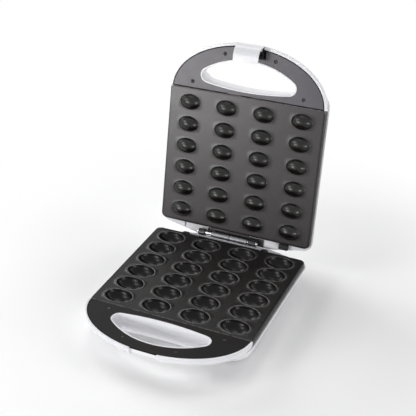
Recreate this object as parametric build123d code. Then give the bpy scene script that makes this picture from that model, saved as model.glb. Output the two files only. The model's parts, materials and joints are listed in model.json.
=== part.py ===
from build123d import *
import os

# Electric nut cookie maker: a base and a lid with baking plates, joined by a rear hinge.
# Every piece is drawn with the lid closed. x runs to the right, y to the back and z up.
# The plates' back edge is y = 0, their meeting plane is z = 0 and the middle line is x = 0.
# The lid is then turned open about the hinge, and the whole stands on z = 0.

# Baking plates
PLATE_W = 256.0
PLATE_D = 221.0
PLATE_T = 3.0
SKIRT_H = 9.0
SKIRT_T = 2.4
PLATE_CORNER_R = 9.0
PLATE_FRONT_R = 3.0
FACE_DROP = 0.6
COLUMNS = 4
ROWS = 6
COLUMN_PITCH = 61.8
ROW_PITCH = 35.4
PLATE_MIDDLE_Y = -PLATE_D / 2
PLATE_EDGE_R = 1.4

# Small lugs of the plates: a front tongue, two rear tabs of the lower plate, a rear step of the upper plate
TONGUE_HALF_W = 84.0
TONGUE_REACH = 4.2
TONGUE_Z = (-5.6, -3.6)
TAB_XS = (-78.0, 58.5)
TAB_HALF_W = 6.0
TAB_REACH = 5.5
TAB_Z = (-5.2, -1.4)
TAB_CORNER_R = 4.0
STEP_X = (-40.0, 27.0)
STEP_REACH = 3.2
STEP_Z = (-4.6, -2.2)

# Screws: shank, the pilot hole that it cuts into, and the hole that it passes
SHANK_R = 1.4
PILOT_R = 1.5
PASS_R = 1.7

# Nut cavities in the lower plate, and the domes of the upper plate that press into them
CAVITY_HALF_L = 21.5
CAVITY_HALF_W = 15.2
CAVITY_DEPTH = 13.0
RIM_HALF_L = 24.2
RIM_HALF_W = 17.5
RIM_H = 0.5
DOME_HALF_L = 16.9
DOME_HALF_W = 11.9
DOME_H = 8.5
DOME_FOOT = 1.1
DOME_FOOT_H = 0.7
CAST_WALL = 2.3

# Handle rings and their dark covers
HANDLE_Y = -219.5
RING_A = 129.0
RING_B = 83.5
RING_TOP = -0.2
RING_DEPTH = 17.0
RING_ROUND = 14.0
COVER_EDGE_Y = -221.4
LID_COVER_EDGE_Y = -222.0
LID_COVER_NOTCHES = [(-32.0, -11.0), (8.0, 24.0)]
LID_COVER_NOTCH_D = 1.4
COVER_T = 2.4
COVER_DROP = 0.5
COVER_GAP = 0.25
HOLE_BACK_R = 420.0
HOLE_TIP_R = 12.0
HOLE_LIP = 1.8
COVER_RECESS_R = 2.9
COVER_RECESS_D = 1.3
COVER_SCREWS = [(-91.0, -232.0), (-41.0, -282.4), (41.0, -282.4), (91.0, -232.0)]

# Housings: white bowls behind the plates
WALL = 2.3
SIDE_X = 129.8
REAR_SIDE_Y = 4.5
REAR_FLAT_X = 62.0
LEDGE_Z = -9.6
FLOOR_DEPTH = 36.5
BOWL_FRONT_Y = -246.0
BOWL_FRONT_R = 24.0
BOWL_SIDE_R = 16.0
BOWL_BACK_R = 40.0
WELL_HALF_W = 124.6
WELL_Y = (-232.0, -3.4)
RING_BACK_Y = -214.0
RING_HOLLOW_Y = -216.0
COVER_POST_R = 3.6
SHIELD_POST_R = 4.5
LEDGE_POST_R = 3.8
BLOCK_POST_R = 3.2
FOOT_POST_R = 4.2
# depth below the meeting plane, inset from the outline, front edge
BOWL_LEVELS = [
    (9.6, 0.0, BOWL_FRONT_Y),
    (14.0, 0.5, BOWL_FRONT_Y),
    (20.0, 3.0, -245.5),
    (26.0, 7.5, -243.0),
    (31.0, 13.5, -236.0),
    (FLOOR_DEPTH, 25.0, -221.0),
]

# Hinge
HINGE_Y = 10.3
HINGE_Z = 1.4
OPEN_ANGLE = 102.6
PIN_R = 2.5
PIN_CLEARANCE = 0.05
PIN_ENDS = (-61.5, 43.5)
BARREL_R = 4.7
BARRELS = [(-36.0, -5.2), (-4.0, 25.0)]
EARS = [(-58.0, -48.0), (28.0, 40.0)]
EAR_R = 5.5
BRACKET_SCREWS = [(-42.0, 9.2), (-5.0, 9.2), (20.0, 9.2)]
LEAF_SCREWS = [(-41.5, 9.0), (46.0, 9.0)]
LEAF_TOP = 9.6
LEAF_T = 1.8
BRACKET_Y = (5.2, 13.2)
BRACKET_EAR_Y = (HINGE_Y - 4.6, HINGE_Y + 4.0)
LEAF_X = (-46.0, 50.5)
LEAF_Y = (3.6, 15.4)
BARREL_NECK = 3.0
CLIP_R = 4.2
CLIP_T = 1.2
REAR_LIP_Y = (1.8, 4.4)
REAR_LIPS = [(-71.4, 51.9), (65.1, 77.0)]
WIRE_GUIDE_X = (77.5, 92.5)
WIRE_GUIDE_Y = (2.2, 10.4)
WIRE_GUIDE_TOP = -1.2
LEDGE_SLOT_X = (-88.6, -86.2)
LEDGE_SLOT_Y = (2.2, 10.4)

# Latch
LATCH_HALF_W = 20.3
LATCH_T = 2.4
LATCH_PIVOT_Y = -296.0
LATCH_PIVOT_Z = 6.5
LATCH_PIN_R = 1.5
LATCH_FRONT_Y = -301.8
LATCH_BACK_Y = -278.0
LATCH_BOTTOM = -19.9
LATCH_TOP = 7.5
LATCH_ROUND = 15.5
LATCH_LIP_TOP = -16.5
LATCH_LUG = (13.5, 16.9)
LATCH_EAR = (17.1, 20.2)
LATCH_LUG_R = 3.0
LATCH_EAR_R = 2.8
NOTCH_HALF_W = 20.9
NOTCH_FRONT_Y = -298.8
NOTCH_ROUND = 12.3
NOTCH_SWING_R = 26.6
NOTCH_BACK_Y = -277.5
STRAP_SWING_R = 6.4
POCKET_HALF_W = 24.6
POCKET_FRONT_Y = -297.3
POCKET_BACK_Y = -282.3
POCKET_WALL = 1.2
POCKET_FLOOR = -14.1
POCKET_TOP = -3.1
POCKET_OPENING_HALF_W = 25.0
POCKET_SCREW_XS = (-8.0, 8.0)
POCKET_SCREW_Y = -287.5

# Feet
FOOT_R = 8.5
FOOT_H = 5.5
FOOT_RECESS_R = 4.2
FOOT_RECESS_D = 3.2
FEET = [(x, y) for x in (-88.0, 88.0) for y in (-28.0, -192.0)]

# Heating
ELEMENT_R = 3.25
ELEMENT_LEGS = [(c - 1.5) * COLUMN_PITCH for c in range(COLUMNS)]
ELEMENT_BACK_Y = -14.0
ELEMENT_FRONT_Y = -165.0
ELEMENT_TURN_BACK_Y = -56.0
CLAMP_YS = [PLATE_MIDDLE_Y - ROW_PITCH, PLATE_MIDDLE_Y + ROW_PITCH]
CLAMP_XS = [-COLUMN_PITCH, 0.0, COLUMN_PITCH]
CLAMP_L = 212.0
CLAMP_W = 11.0
CLAMP_T = 1.5
BOSS_R = 4.5
SHIELD_W = 226.0
SHIELD_D = 196.0
SHIELD_T = 0.8
SHIELD_RIM = 4.0
SHIELD_POSTS = [(x, y) for x in (-96.0, 96.0) for y in (-46.0, -175.0)]
THERMOSTAT_R = 7.0
THERMOSTAT_BOTTOM = -12.9
THERMOSTAT_SCREWS = [(0.0, PLATE_MIDDLE_Y - 24.0), (0.0, PLATE_MIDDLE_Y + 24.0)]
FUSE = (-40.0, -28.0)
FUSE_R = 2.6
WIRE_Y = 3.0
WIRE_R = 1.1
PIN_END_Y = -9.0
BLADE_BOTTOM = -19.8
LID_WIRE_Z = -19.5
BLOCK = (34.0, 70.0)
BLOCK_BOTTOM = -25.0
BLOCK_TOP = -16.0
BLOCK_SCREWS = [(41.0, WIRE_Y), (63.0, WIRE_Y)]
GLAND_X = 52.0
GLAND_Z = -21.0
GLAND_R = 5.4
GLAND_SEAT_R = 5.7
GLAND_COLLAR_R = 7.6
GLAND_BORE_R = 3.4
GLAND_BOSS_R = 9.0

# Limits of cutting blocks: in front of everything, and far outside in every direction
FRONT_Y = -310.0
BIG = 500.0


class Half:
    """What differs between the base and the lid. Both are drawn with their housing below the plate."""

    def __init__(self, cover_a, cover_b, cover_edge_y, hole_front_y, hole_front_r, hole_back_y, rear_y,
                 element_z, ledge_screws):
        self.cover_a = cover_a
        self.cover_b = cover_b
        self.cover_edge_y = cover_edge_y
        self.hole_front_y = hole_front_y
        self.hole_front_r = hole_front_r
        self.hole_back_y = hole_back_y
        self.rear_y = rear_y
        self.element_z = element_z
        self.ledge_screws = ledge_screws
        self.clamp_top = element_z - ELEMENT_R - 0.1
        self.shield_z = self.clamp_top - CLAMP_T - 3.4


CAVITY_BOTTOM = -FACE_DROP - CAVITY_DEPTH - CAST_WALL
BASE = Half(126.0, 80.8, COVER_EDGE_Y, -282.2, 116.0, -229.8, 20.0,
            CAVITY_BOTTOM - ELEMENT_R - 0.3, BRACKET_SCREWS)
LID = Half(124.6, 78.8, LID_COVER_EDGE_Y, -277.5, 133.0, -228.0, 17.0,
           -FACE_DROP - PLATE_T - ELEMENT_R - 0.3, LEAF_SCREWS)


def box(x0, x1, y0, y1, z0, z1):
    """A block between two corners."""
    return Pos((x0 + x1) / 2, (y0 + y1) / 2, (z0 + z1) / 2) * Box(x1 - x0, y1 - y0, z1 - z0)


def post(x, y, z0, z1, r):
    """An upright round bar from z0 to z1."""
    return Pos(x, y, (z0 + z1) / 2) * Cylinder(r, z1 - z0)


def bar_x(x0, x1, y, z, r):
    """A round bar along x."""
    return Pos((x0 + x1) / 2, y, z) * Rot(0, 90, 0) * Cylinder(r, x1 - x0)


def bar_y(x, y0, y1, z, r):
    """A round bar along y."""
    return Pos(x, (y0 + y1) / 2, z) * Rot(90, 0, 0) * Cylinder(r, y1 - y0)


def side_prism(face, x0, x1):
    """A face drawn with y across and z up, raised along x."""
    return Pos(x0, 0, 0) * extrude(Plane.YZ * face, amount=x1 - x0)


def rectangle(u0, u1, v0, v1):
    """A flat rectangle between two corners."""
    return Pos((u0 + u1) / 2, (v0 + v1) / 2) * Rectangle(u1 - u0, v1 - v0)


def screw(r, length, head_r, head_h):
    """A cross-head screw with its head above z = 0 and its shank below."""
    head = Pos(0, 0, head_h / 2) * Cylinder(head_r, head_h)
    head = fillet(head.edges().group_by(Axis.Z)[-1], head_h * 0.4)
    for angle in (0, 90):
        head -= Pos(0, 0, head_h) * Rot(0, 0, angle) * Box(head_r * 1.2, head_r * 0.3, head_h)
    return head + post(0, 0, -length, 0.01, r)


def lead(points):
    """A wire of straight runs through points, with round elbows."""
    wire = Part()
    corners = [Vector(*point) for point in points]
    for start, end in zip(corners, corners[1:]):
        run = end - start
        wire += Plane(origin=(start + end) / 2, z_dir=run) * Cylinder(WIRE_R, run.length)
    wire += [Pos(*corner) * Sphere(WIRE_R) for corner in corners[1:-1]]
    return wire


def prism(face, z0, z1):
    """A flat face on z = 0, raised to fill z0 to z1."""
    return Pos(0, 0, z0) * extrude(face, amount=z1 - z0)


def nut_places():
    """Centres of the nut forms, row by row."""
    for row in range(ROWS):
        for column in range(COLUMNS):
            x = (column - (COLUMNS - 1) / 2) * COLUMN_PITCH
            y = PLATE_MIDDLE_Y + (row - (ROWS - 1) / 2) * ROW_PITCH
            yield x, y


def nut_form(half_l, half_w, height, grow=0.0):
    """An egg-shaped solid about x. Its cut by z = 0 is half_l by half_w, and it reaches height below."""
    sink = (half_w**2 - height**2) / (2 * height)
    radius = height + sink
    length = half_l / (1 - (sink / radius) ** 2) ** 0.5
    upper = Ellipse(length + grow, radius + grow) & Pos(0, BIG / 2) * Rectangle(BIG, BIG)
    return Pos(0, 0, sink) * revolve(upper, Axis.X, 360)


def plate_outline(inset):
    """The plate's plan, with round back corners."""
    face = Pos(0, PLATE_MIDDLE_Y) * Rectangle(PLATE_W - 2 * inset, PLATE_D - 2 * inset)
    back = face.vertices().sort_by(Axis.Y)[-2:]
    face = fillet(back, PLATE_CORNER_R - inset)
    front = face.vertices().sort_by(Axis.Y)[:2]
    return fillet(front, PLATE_FRONT_R)


def plate_pan():
    """The plate without its nut forms: a face, a skirt round it and a tongue that the cover holds down."""
    top = -FACE_DROP
    pan = prism(plate_outline(0), -SKIRT_H, top)
    pan = fillet(pan.edges().group_by(Axis.Z)[-1], PLATE_EDGE_R)
    pan -= prism(plate_outline(SKIRT_T), -SKIRT_H - 1, top - PLATE_T)
    return pan + box(-TONGUE_HALF_W, TONGUE_HALF_W, -PLATE_D - TONGUE_REACH, -PLATE_D + 1, *TONGUE_Z)


def plate_bosses(half):
    """Round bosses under the plate that take the clamp screws."""
    bosses = Part()
    for x in CLAMP_XS:
        for y in CLAMP_YS:
            boss = post(x, y, half.clamp_top, -FACE_DROP - PLATE_T + 0.5, BOSS_R)
            bosses += boss - post(x, y, half.clamp_top - 1, half.clamp_top + 7, PILOT_R)
    return bosses


def make_lower_plate():
    top = -FACE_DROP
    plate = plate_pan()
    for x in TAB_XS:
        tab = box(x - TAB_HALF_W, x + TAB_HALF_W, -2, TAB_REACH, *TAB_Z)
        plate += fillet(tab.edges().filter_by(Axis.Z).group_by(Axis.Y)[-1], TAB_CORNER_R)
    shell = nut_form(CAVITY_HALF_L, CAVITY_HALF_W, CAVITY_DEPTH, CAST_WALL)
    shell &= box(-BIG, BIG, -BIG, BIG, -BIG, -PLATE_T / 2)
    hollow = nut_form(CAVITY_HALF_L, CAVITY_HALF_W, CAVITY_DEPTH)
    rim = extrude(Ellipse(RIM_HALF_L, RIM_HALF_W), amount=RIM_H, taper=45)
    rim += prism(Ellipse(RIM_HALF_L, RIM_HALF_W), -1, 0)
    plate += [Pos(x, y, top) * shell for x, y in nut_places()]
    plate += [Pos(x, y, top) * rim for x, y in nut_places()]
    plate -= [Pos(x, y, top) * hollow for x, y in nut_places()]
    for x, y in THERMOSTAT_SCREWS:
        boss = post(x, y, THERMOSTAT_BOTTOM, top - PLATE_T + 0.5, THERMOSTAT_R / 2)
        plate += boss - post(x, y, THERMOSTAT_BOTTOM - 1, THERMOSTAT_BOTTOM + 7, PILOT_R)
    return plate + plate_bosses(BASE)


def make_upper_plate():
    top = -FACE_DROP
    plate = plate_pan()
    plate += box(*STEP_X, -2, STEP_REACH, *STEP_Z)
    dome = Rot(180, 0, 0) * nut_form(DOME_HALF_L, DOME_HALF_W, DOME_H)
    dome &= box(-BIG, BIG, -BIG, BIG, -1, BIG)
    hollow = Rot(180, 0, 0) * nut_form(DOME_HALF_L, DOME_HALF_W, DOME_H, -CAST_WALL)
    foot = Ellipse(DOME_HALF_L + DOME_FOOT, DOME_HALF_W + DOME_FOOT)
    foot = extrude(foot, amount=DOME_FOOT_H, taper=45)
    plate += [Pos(x, y, top) * dome for x, y in nut_places()]
    plate += [Pos(x, y, top) * foot for x, y in nut_places()]
    plate -= [Pos(x, y, top) * hollow for x, y in nut_places()]
    return plate + plate_bosses(LID)


def d_face(a, b, back_y):
    """The front of an ellipse, cut straight across at back_y."""
    whole = Pos(0, HANDLE_Y) * Ellipse(a, b)
    return whole - Pos(0, back_y + BIG / 2) * Rectangle(2 * BIG, BIG)


def hole_face(half, grow=0.0):
    """The finger hole: a wide lens of two arcs with round tips."""
    front_r = half.hole_front_r + grow
    back_r = HOLE_BACK_R + grow
    front = Pos(0, half.hole_front_y + half.hole_front_r) * Circle(front_r)
    back = Pos(0, half.hole_back_y - HOLE_BACK_R) * Circle(back_r)
    lens = front & back
    return fillet(lens.vertices(), HOLE_TIP_R + grow)


def ring_body(inset):
    """The handle ring as a full block with a round lower edge."""
    body = prism(d_face(RING_A - inset, RING_B - inset, RING_BACK_Y), -RING_DEPTH + inset, RING_TOP)
    rim = body.edges().group_by(Axis.Z)[0].sort_by(Axis.Y)[0]
    return fillet(rim, RING_ROUND - inset)


def bowl_face(half, depth, inset, front_y):
    """One level of the bowl, as a face at that depth."""
    side = SIDE_X - inset
    corner_y = REAR_SIDE_Y - inset * 0.9
    back_y = half.rear_y - inset * 0.9
    right = [(side, front_y), (side, corner_y), (REAR_FLAT_X - inset * 0.3, back_y)]
    left = [(-x, y) for x, y in reversed(right)]
    face = make_face(Polyline(*right, *left, close=True))
    radii = {front_y: BOWL_FRONT_R, corner_y: BOWL_SIDE_R, back_y: BOWL_BACK_R}
    for y, radius in radii.items():
        corners = [v for v in face.vertices() if abs(v.Y - y) < 1e-6]
        face = fillet(corners, radius)
    return Pos(0, 0, -depth) * face


def bowl(half, thick):
    """The bowl as a full block, taken in by thick on its sides and floor."""
    faces = []
    for depth, inset, front_y in BOWL_LEVELS:
        lower = depth - thick if depth > BOWL_LEVELS[0][0] else depth
        faces.append(bowl_face(half, lower, inset + thick, front_y + thick))
    return loft(faces)


def notch_keep(inset):
    """What stays of the base's ring behind the latch, drawn with y across and z up."""
    keep = rectangle(NOTCH_FRONT_Y + inset, NOTCH_BACK_Y + 5, -RING_DEPTH + inset, RING_TOP)
    corner = keep.vertices().sort_by(lambda v: v.X + v.Y)[0]
    keep = fillet(corner, NOTCH_ROUND - inset)
    return keep & Pos(LATCH_PIVOT_Y, LATCH_PIVOT_Z) * Circle(NOTCH_SWING_R - inset)


def front_zone(half_w):
    """The middle of the ring's front, where the latch wraps round it."""
    return box(-half_w, half_w, FRONT_Y, NOTCH_BACK_Y, -30, 5)


def make_housing(half):
    """The white half shell, drawn open at the top, before what is special to the base or the lid."""
    ring = ring_body(0)
    ring_hollow = ring_body(WALL) & box(-BIG, BIG, -BIG, RING_HOLLOW_Y, -BIG, 1)
    if half is BASE:
        keep = side_prism(notch_keep(0), -NOTCH_HALF_W, NOTCH_HALF_W)
        ring -= front_zone(NOTCH_HALF_W) - keep
        inner_w = NOTCH_HALF_W + WALL
        keep = side_prism(notch_keep(WALL), -inner_w, inner_w)
        ring_hollow -= front_zone(inner_w) - keep
    outer = bowl(half, 0) + ring
    outer -= box(-BIG, BIG, COVER_EDGE_Y, BIG, LEDGE_Z, 1)
    if half is BASE:
        outer += bar_y(GLAND_X, 8, half.rear_y, GLAND_Z, GLAND_BOSS_R)
    inner = bowl(half, WALL) & box(-BIG, BIG, -BIG, BIG, -BIG, LEDGE_Z - WALL)
    inner += box(-WELL_HALF_W, WELL_HALF_W, *WELL_Y, LEDGE_Z - WALL - 1, 1)
    inner += ring_hollow
    inner -= prism(hole_face(half, 0.5), -BIG / 2, 5)
    shell = outer - inner
    seat = d_face(half.cover_a + COVER_GAP, half.cover_b + COVER_GAP, COVER_EDGE_Y + 5)
    seat -= hole_face(half, 0)
    cover_seat = -COVER_DROP - COVER_T - 0.1
    shell -= prism(seat, cover_seat, 1)
    post_top = half.shield_z - SHIELD_T - 0.1
    bosses = Part() + [post(x, y, -FLOOR_DEPTH, cover_seat, COVER_POST_R) for x, y in COVER_SCREWS]
    bosses += [post(x, y, -FLOOR_DEPTH, post_top, SHIELD_POST_R) for x, y in SHIELD_POSTS]
    bosses += [post(x, y, LEDGE_Z - 6.4, LEDGE_Z - 1, LEDGE_POST_R) for x, y in half.ledge_screws]
    pilots = Part() + [post(x, y, -14.5, 0, PILOT_R) for x, y in COVER_SCREWS]
    pilots += [post(x, y, post_top - 5.5, post_top + 1, PILOT_R) for x, y in SHIELD_POSTS]
    pilots += [post(x, y, LEDGE_Z - 5.6, LEDGE_Z + 1, PILOT_R) for x, y in half.ledge_screws]
    if half is BASE:
        bosses += [post(x, y, -FLOOR_DEPTH, BLOCK_BOTTOM - 0.1, BLOCK_POST_R) for x, y in BLOCK_SCREWS]
        bosses += [post(x, y, -FLOOR_DEPTH, -30, FOOT_POST_R) for x, y in FEET]
        pilots += [post(x, y, BLOCK_BOTTOM - 5, BLOCK_BOTTOM + 1, 1.3) for x, y in BLOCK_SCREWS]
        pilots += [post(x, y, -FLOOR_DEPTH - 1, -30.6, PILOT_R) for x, y in FEET]
    shell += bosses & outer
    shell -= pilots
    return shell - prism(hole_face(half, -HOLE_LIP), -BIG / 2, 5)


def make_base_housing():
    shell = make_housing(BASE)
    for x0, x1 in REAR_LIPS:
        shell += box(x0, x1, *REAR_LIP_Y, LEDGE_Z - 0.5, -1.2)
    return shell - bar_y(GLAND_X, -2, 30, GLAND_Z, GLAND_SEAT_R)


def make_lid_housing():
    shell = make_housing(LID)
    half_w = NOTCH_HALF_W
    shell -= box(*LEDGE_SLOT_X, *LEDGE_SLOT_Y, LEDGE_Z - WALL - 1, LEDGE_Z + 1)
    shell -= box(-half_w, half_w, FRONT_Y, LATCH_PIVOT_Y + 5, -LATCH_PIVOT_Z - 1.5, 1)
    shell -= box(-half_w, half_w, FRONT_Y, LATCH_PIVOT_Y, -LATCH_PIVOT_Z - STRAP_SWING_R, 1)
    shell -= bar_x(-half_w, half_w, LATCH_PIVOT_Y, -LATCH_PIVOT_Z, STRAP_SWING_R)
    for x in POCKET_SCREW_XS:
        shell -= post(x, POCKET_SCREW_Y, -16.4, 0, 1.25)
    return shell


def make_cover(half):
    """The dark D-shaped cover of a handle ring."""
    face = d_face(half.cover_a, half.cover_b, half.cover_edge_y)
    face -= hole_face(half, 0.15)
    cover = prism(face, -COVER_DROP - COVER_T, -COVER_DROP)
    for x, y in COVER_SCREWS:
        cover -= post(x, y, -BIG, BIG, PASS_R)
        cover -= post(x, y, -COVER_DROP - COVER_RECESS_D, 0, COVER_RECESS_R)
    if half is BASE:
        return cover - box(-NOTCH_HALF_W, NOTCH_HALF_W, FRONT_Y, NOTCH_FRONT_Y, -5, 1)
    cover -= box(-NOTCH_HALF_W, NOTCH_HALF_W, FRONT_Y, POCKET_FRONT_Y + 1, -5, 1)
    for x0, x1 in LID_COVER_NOTCHES:
        cover -= box(x0, x1, half.cover_edge_y - LID_COVER_NOTCH_D, COVER_EDGE_Y, -5, 1)
    half_w = POCKET_OPENING_HALF_W
    return cover - box(-half_w, half_w, POCKET_FRONT_Y, POCKET_BACK_Y, -5, 1)


def make_element(half):
    """The tubular heater: two front bends and one back bend between four straight legs."""
    z = half.element_z
    r = COLUMN_PITCH / 2
    back, front, turn = ELEMENT_BACK_Y, ELEMENT_FRONT_Y, ELEMENT_TURN_BACK_Y
    a, b, c, d = ELEMENT_LEGS
    path = Wire([
        Line((a, back, z), (a, front, z)),
        ThreePointArc((a, front, z), (a + r, front - r, z), (b, front, z)),
        Line((b, front, z), (b, turn, z)),
        ThreePointArc((b, turn, z), (b + r, turn + r, z), (c, turn, z)),
        Line((c, turn, z), (c, front, z)),
        ThreePointArc((c, front, z), (c + r, front - r, z), (d, front, z)),
        Line((d, front, z), (d, back, z)),
    ])
    tube = sweep(Plane(origin=(a, back, z), z_dir=(0, -1, 0)) * Circle(ELEMENT_R), path=path)
    return tube + [bar_y(x, back - 0.5, PIN_END_Y, z, 1.6) for x in (a, d)]


def make_clamps(half):
    """Two bars across the heater, screwed to the plate's bosses."""
    top = half.clamp_top
    bars = Part()
    for y in CLAMP_YS:
        bar = box(-CLAMP_L / 2, CLAMP_L / 2, y - CLAMP_W / 2, y + CLAMP_W / 2, top - CLAMP_T, top)
        bar = fillet(bar.edges().filter_by(Axis.Z), 3)
        bars += bar - [post(x, y, top - 5, top + 5, PASS_R) for x in CLAMP_XS]
    return bars


def make_clamp_screws(half):
    one = Rot(180, 0, 0) * screw(SHANK_R, 7.0, 3.0, 1.9)
    z = half.clamp_top - CLAMP_T
    return Part() + [Pos(x, y, z) * one for x in CLAMP_XS for y in CLAMP_YS]


def make_reflector(half):
    """A shallow aluminium pan with a rim."""
    z = half.shield_z
    outline = fillet((Pos(0, PLATE_MIDDLE_Y) * Rectangle(SHIELD_W, SHIELD_D)).vertices(), 14)
    inside = offset(outline, -SHIELD_T)
    pan = prism(outline, z - SHIELD_T, z + SHIELD_RIM) - prism(inside, z, z + SHIELD_RIM + 1)
    return pan - [post(x, y, z - 5, z + 5, PASS_R) for x, y in SHIELD_POSTS]


def make_reflector_screws(half):
    one = screw(SHANK_R, 5.6, 3.0, 1.9)
    return Part() + [Pos(x, y, half.shield_z) * one for x, y in SHIELD_POSTS]


def make_cover_screws():
    one = screw(SHANK_R, 9.0, 2.4, 1.1)
    return Part() + [Pos(x, y, -COVER_DROP - COVER_RECESS_D) * one for x, y in COVER_SCREWS]


def make_thermostat():
    """A disc thermostat with two blades."""
    y = PLATE_MIDDLE_Y
    body = post(0, y, THERMOSTAT_BOTTOM, -4.0, THERMOSTAT_R)
    body = fillet(body.edges().group_by(Axis.Z)[-1], 0.8)
    for x in (-5.4, 5.4):
        body += box(x - 0.4, x + 0.4, y - 3, y + 3, BLADE_BOTTOM, THERMOSTAT_BOTTOM + 0.5)
    return body


def make_thermostat_bracket():
    z = THERMOSTAT_BOTTOM
    strip = box(-4, 4, PLATE_MIDDLE_Y - 28, PLATE_MIDDLE_Y + 28, z - 1.2, z)
    strip = fillet(strip.edges().filter_by(Axis.Z), 3)
    return strip - [post(x, y, z - 5, z + 5, PASS_R) for x, y in THERMOSTAT_SCREWS]


def make_thermostat_screws():
    one = Rot(180, 0, 0) * screw(SHANK_R, 7.0, 2.6, 1.8)
    return Part() + [Pos(x, y, THERMOSTAT_BOTTOM - 1.2) * one for x, y in THERMOSTAT_SCREWS]


def make_fuse(z):
    """A thermal fuse in its sleeve, along x."""
    x0, x1 = FUSE
    body = bar_x(x0 + 1.5, x1 - 1.5, WIRE_Y, z, FUSE_R)
    return body + bar_x(x0, x1, WIRE_Y, z, 1.6)


def make_terminal_block():
    x0, x1 = BLOCK
    block = box(x0, x1, WIRE_Y - 4.5, WIRE_Y + 4.5, BLOCK_BOTTOM, BLOCK_TOP)
    block = fillet(block.edges().filter_by(Axis.Z), 1.2)
    for x in (x0 + 12.5, (x0 + x1) / 2, x1 - 12.5):
        block -= post(x, WIRE_Y, BLOCK_TOP - 3, BLOCK_TOP + 1, 1.9)
    return block - [post(x, y, BLOCK_BOTTOM - 1, BLOCK_TOP + 1, 1.5) for x, y in BLOCK_SCREWS]


def make_terminal_screws():
    one = screw(1.2, BLOCK_TOP - BLOCK_BOTTOM + 4.5, 2.4, 1.4)
    return Part() + [Pos(x, y, BLOCK_TOP) * one for x, y in BLOCK_SCREWS]


def make_supply_leads():
    """Inner wires of the base: heater, fuse, thermostat and terminal block in a loop."""
    z = BASE.element_z
    end_x = ELEMENT_LEGS[-1]
    y = WIRE_Y
    deep = BASE.clamp_top - CLAMP_T - 1.7
    wires = lead([(end_x, PIN_END_Y, z), (end_x, -6, z), (84, y, z), (BLOCK[1], y, z)])
    wires += lead([(-end_x, PIN_END_Y, z), (-end_x, -6, z), (-84, y, z), (FUSE[0], y, z)])
    for start, elbow_x, x in ((FUSE[1], -12, -5.4), (BLOCK[0], 12, 5.4)):
        wires += lead([
            (start, y, z),
            (elbow_x, y, z),
            (x, -12, -21),
            (x, -24, deep),
            (x, PLATE_MIDDLE_Y, deep),
            (x, PLATE_MIDDLE_Y, BLADE_BOTTOM),
        ])
    return wires


def make_lid_leads():
    """Inner wires of the lid, from the heater's ends through the fuse to the wire guide."""
    z = LID.element_z
    end_x = ELEMENT_LEGS[-1]
    y = WIRE_Y
    deep = LID_WIRE_Z
    wires = lead([
        (-end_x, PIN_END_Y, z),
        (-end_x, -6.8, z),
        (-end_x, -6.5, -13.5),
        (-84, y, deep),
        (FUSE[0], y, deep),
    ])
    wires += lead([(FUSE[1], y, deep), (83, y, deep)])
    wires += lead([
        (end_x, PIN_END_Y, z),
        (end_x, -6.8, z),
        (end_x, -6.5, -13.5),
        (89, y, -17),
        (88, 5.4, -17),
    ])
    return wires


def make_gland():
    """The cord's entry: a bushing through the rear wall, with its bore left empty."""
    gland = bar_y(GLAND_X, 9.5, 25, GLAND_Z, GLAND_R) + bar_y(GLAND_X, 20.2, 22.4, GLAND_Z, GLAND_COLLAR_R)
    return gland - bar_y(GLAND_X, 5, 30, GLAND_Z, GLAND_BORE_R)


def make_feet():
    bottom = -FLOOR_DEPTH - FOOT_H
    foot = post(0, 0, bottom, -FLOOR_DEPTH, FOOT_R)
    foot = fillet(foot.edges().group_by(Axis.Z)[0], 1.2)
    foot -= post(0, 0, bottom - 1, bottom + FOOT_RECESS_D, FOOT_RECESS_R)
    foot -= post(0, 0, bottom, 0, PASS_R)
    return Part() + [Pos(x, y, 0) * foot for x, y in FEET]


def make_feet_screws():
    one = Rot(180, 0, 0) * screw(SHANK_R, 7.5, 3.2, 2.0)
    return Part() + [Pos(x, y, -FLOOR_DEPTH - FOOT_H + FOOT_RECESS_D) * one for x, y in FEET]


def hinge_bar(x0, x1, r):
    """A round bar on the hinge's axis."""
    return bar_x(x0, x1, HINGE_Y, HINGE_Z, r)


def make_base_bracket():
    """A strip on the base's rear ledge with two ears that hold the pin."""
    bracket = box(EARS[0][0], EARS[1][1], *BRACKET_Y, LEDGE_Z, LEDGE_Z + LEAF_T)
    for x0, x1 in EARS:
        bracket += box(x0, x1, *BRACKET_EAR_Y, LEDGE_Z, HINGE_Z)
        bracket += hinge_bar(x0, x1, EAR_R)
    bracket -= [post(x, y, LEDGE_Z - 1, LEDGE_Z + 5, PASS_R) for x, y in BRACKET_SCREWS]
    return bracket - hinge_bar(-BIG, BIG, PIN_R + PIN_CLEARANCE)


def make_bracket_screws():
    one = screw(SHANK_R, 6.8, 2.8, 1.8)
    return Part() + [Pos(x, y, LEDGE_Z + LEAF_T) * one for x, y in BRACKET_SCREWS]


def make_pin_clips():
    """A ring on each end of the hinge pin."""
    clips = Part()
    for x in (EARS[0][0] - 0.6 - CLIP_T, EARS[1][1] + 0.6):
        clips += hinge_bar(x, x + CLIP_T, CLIP_R) - hinge_bar(x - 1, x + 2, PIN_R + PIN_CLEARANCE)
    return clips


def make_wire_guide():
    """A block on the lid's rear ledge, through which the lid's wires leave."""
    guide = box(*WIRE_GUIDE_X, *WIRE_GUIDE_Y, LEDGE_Z, WIRE_GUIDE_TOP)
    return fillet(guide.edges().group_by(Axis.Z)[-1], 2.0)


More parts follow.
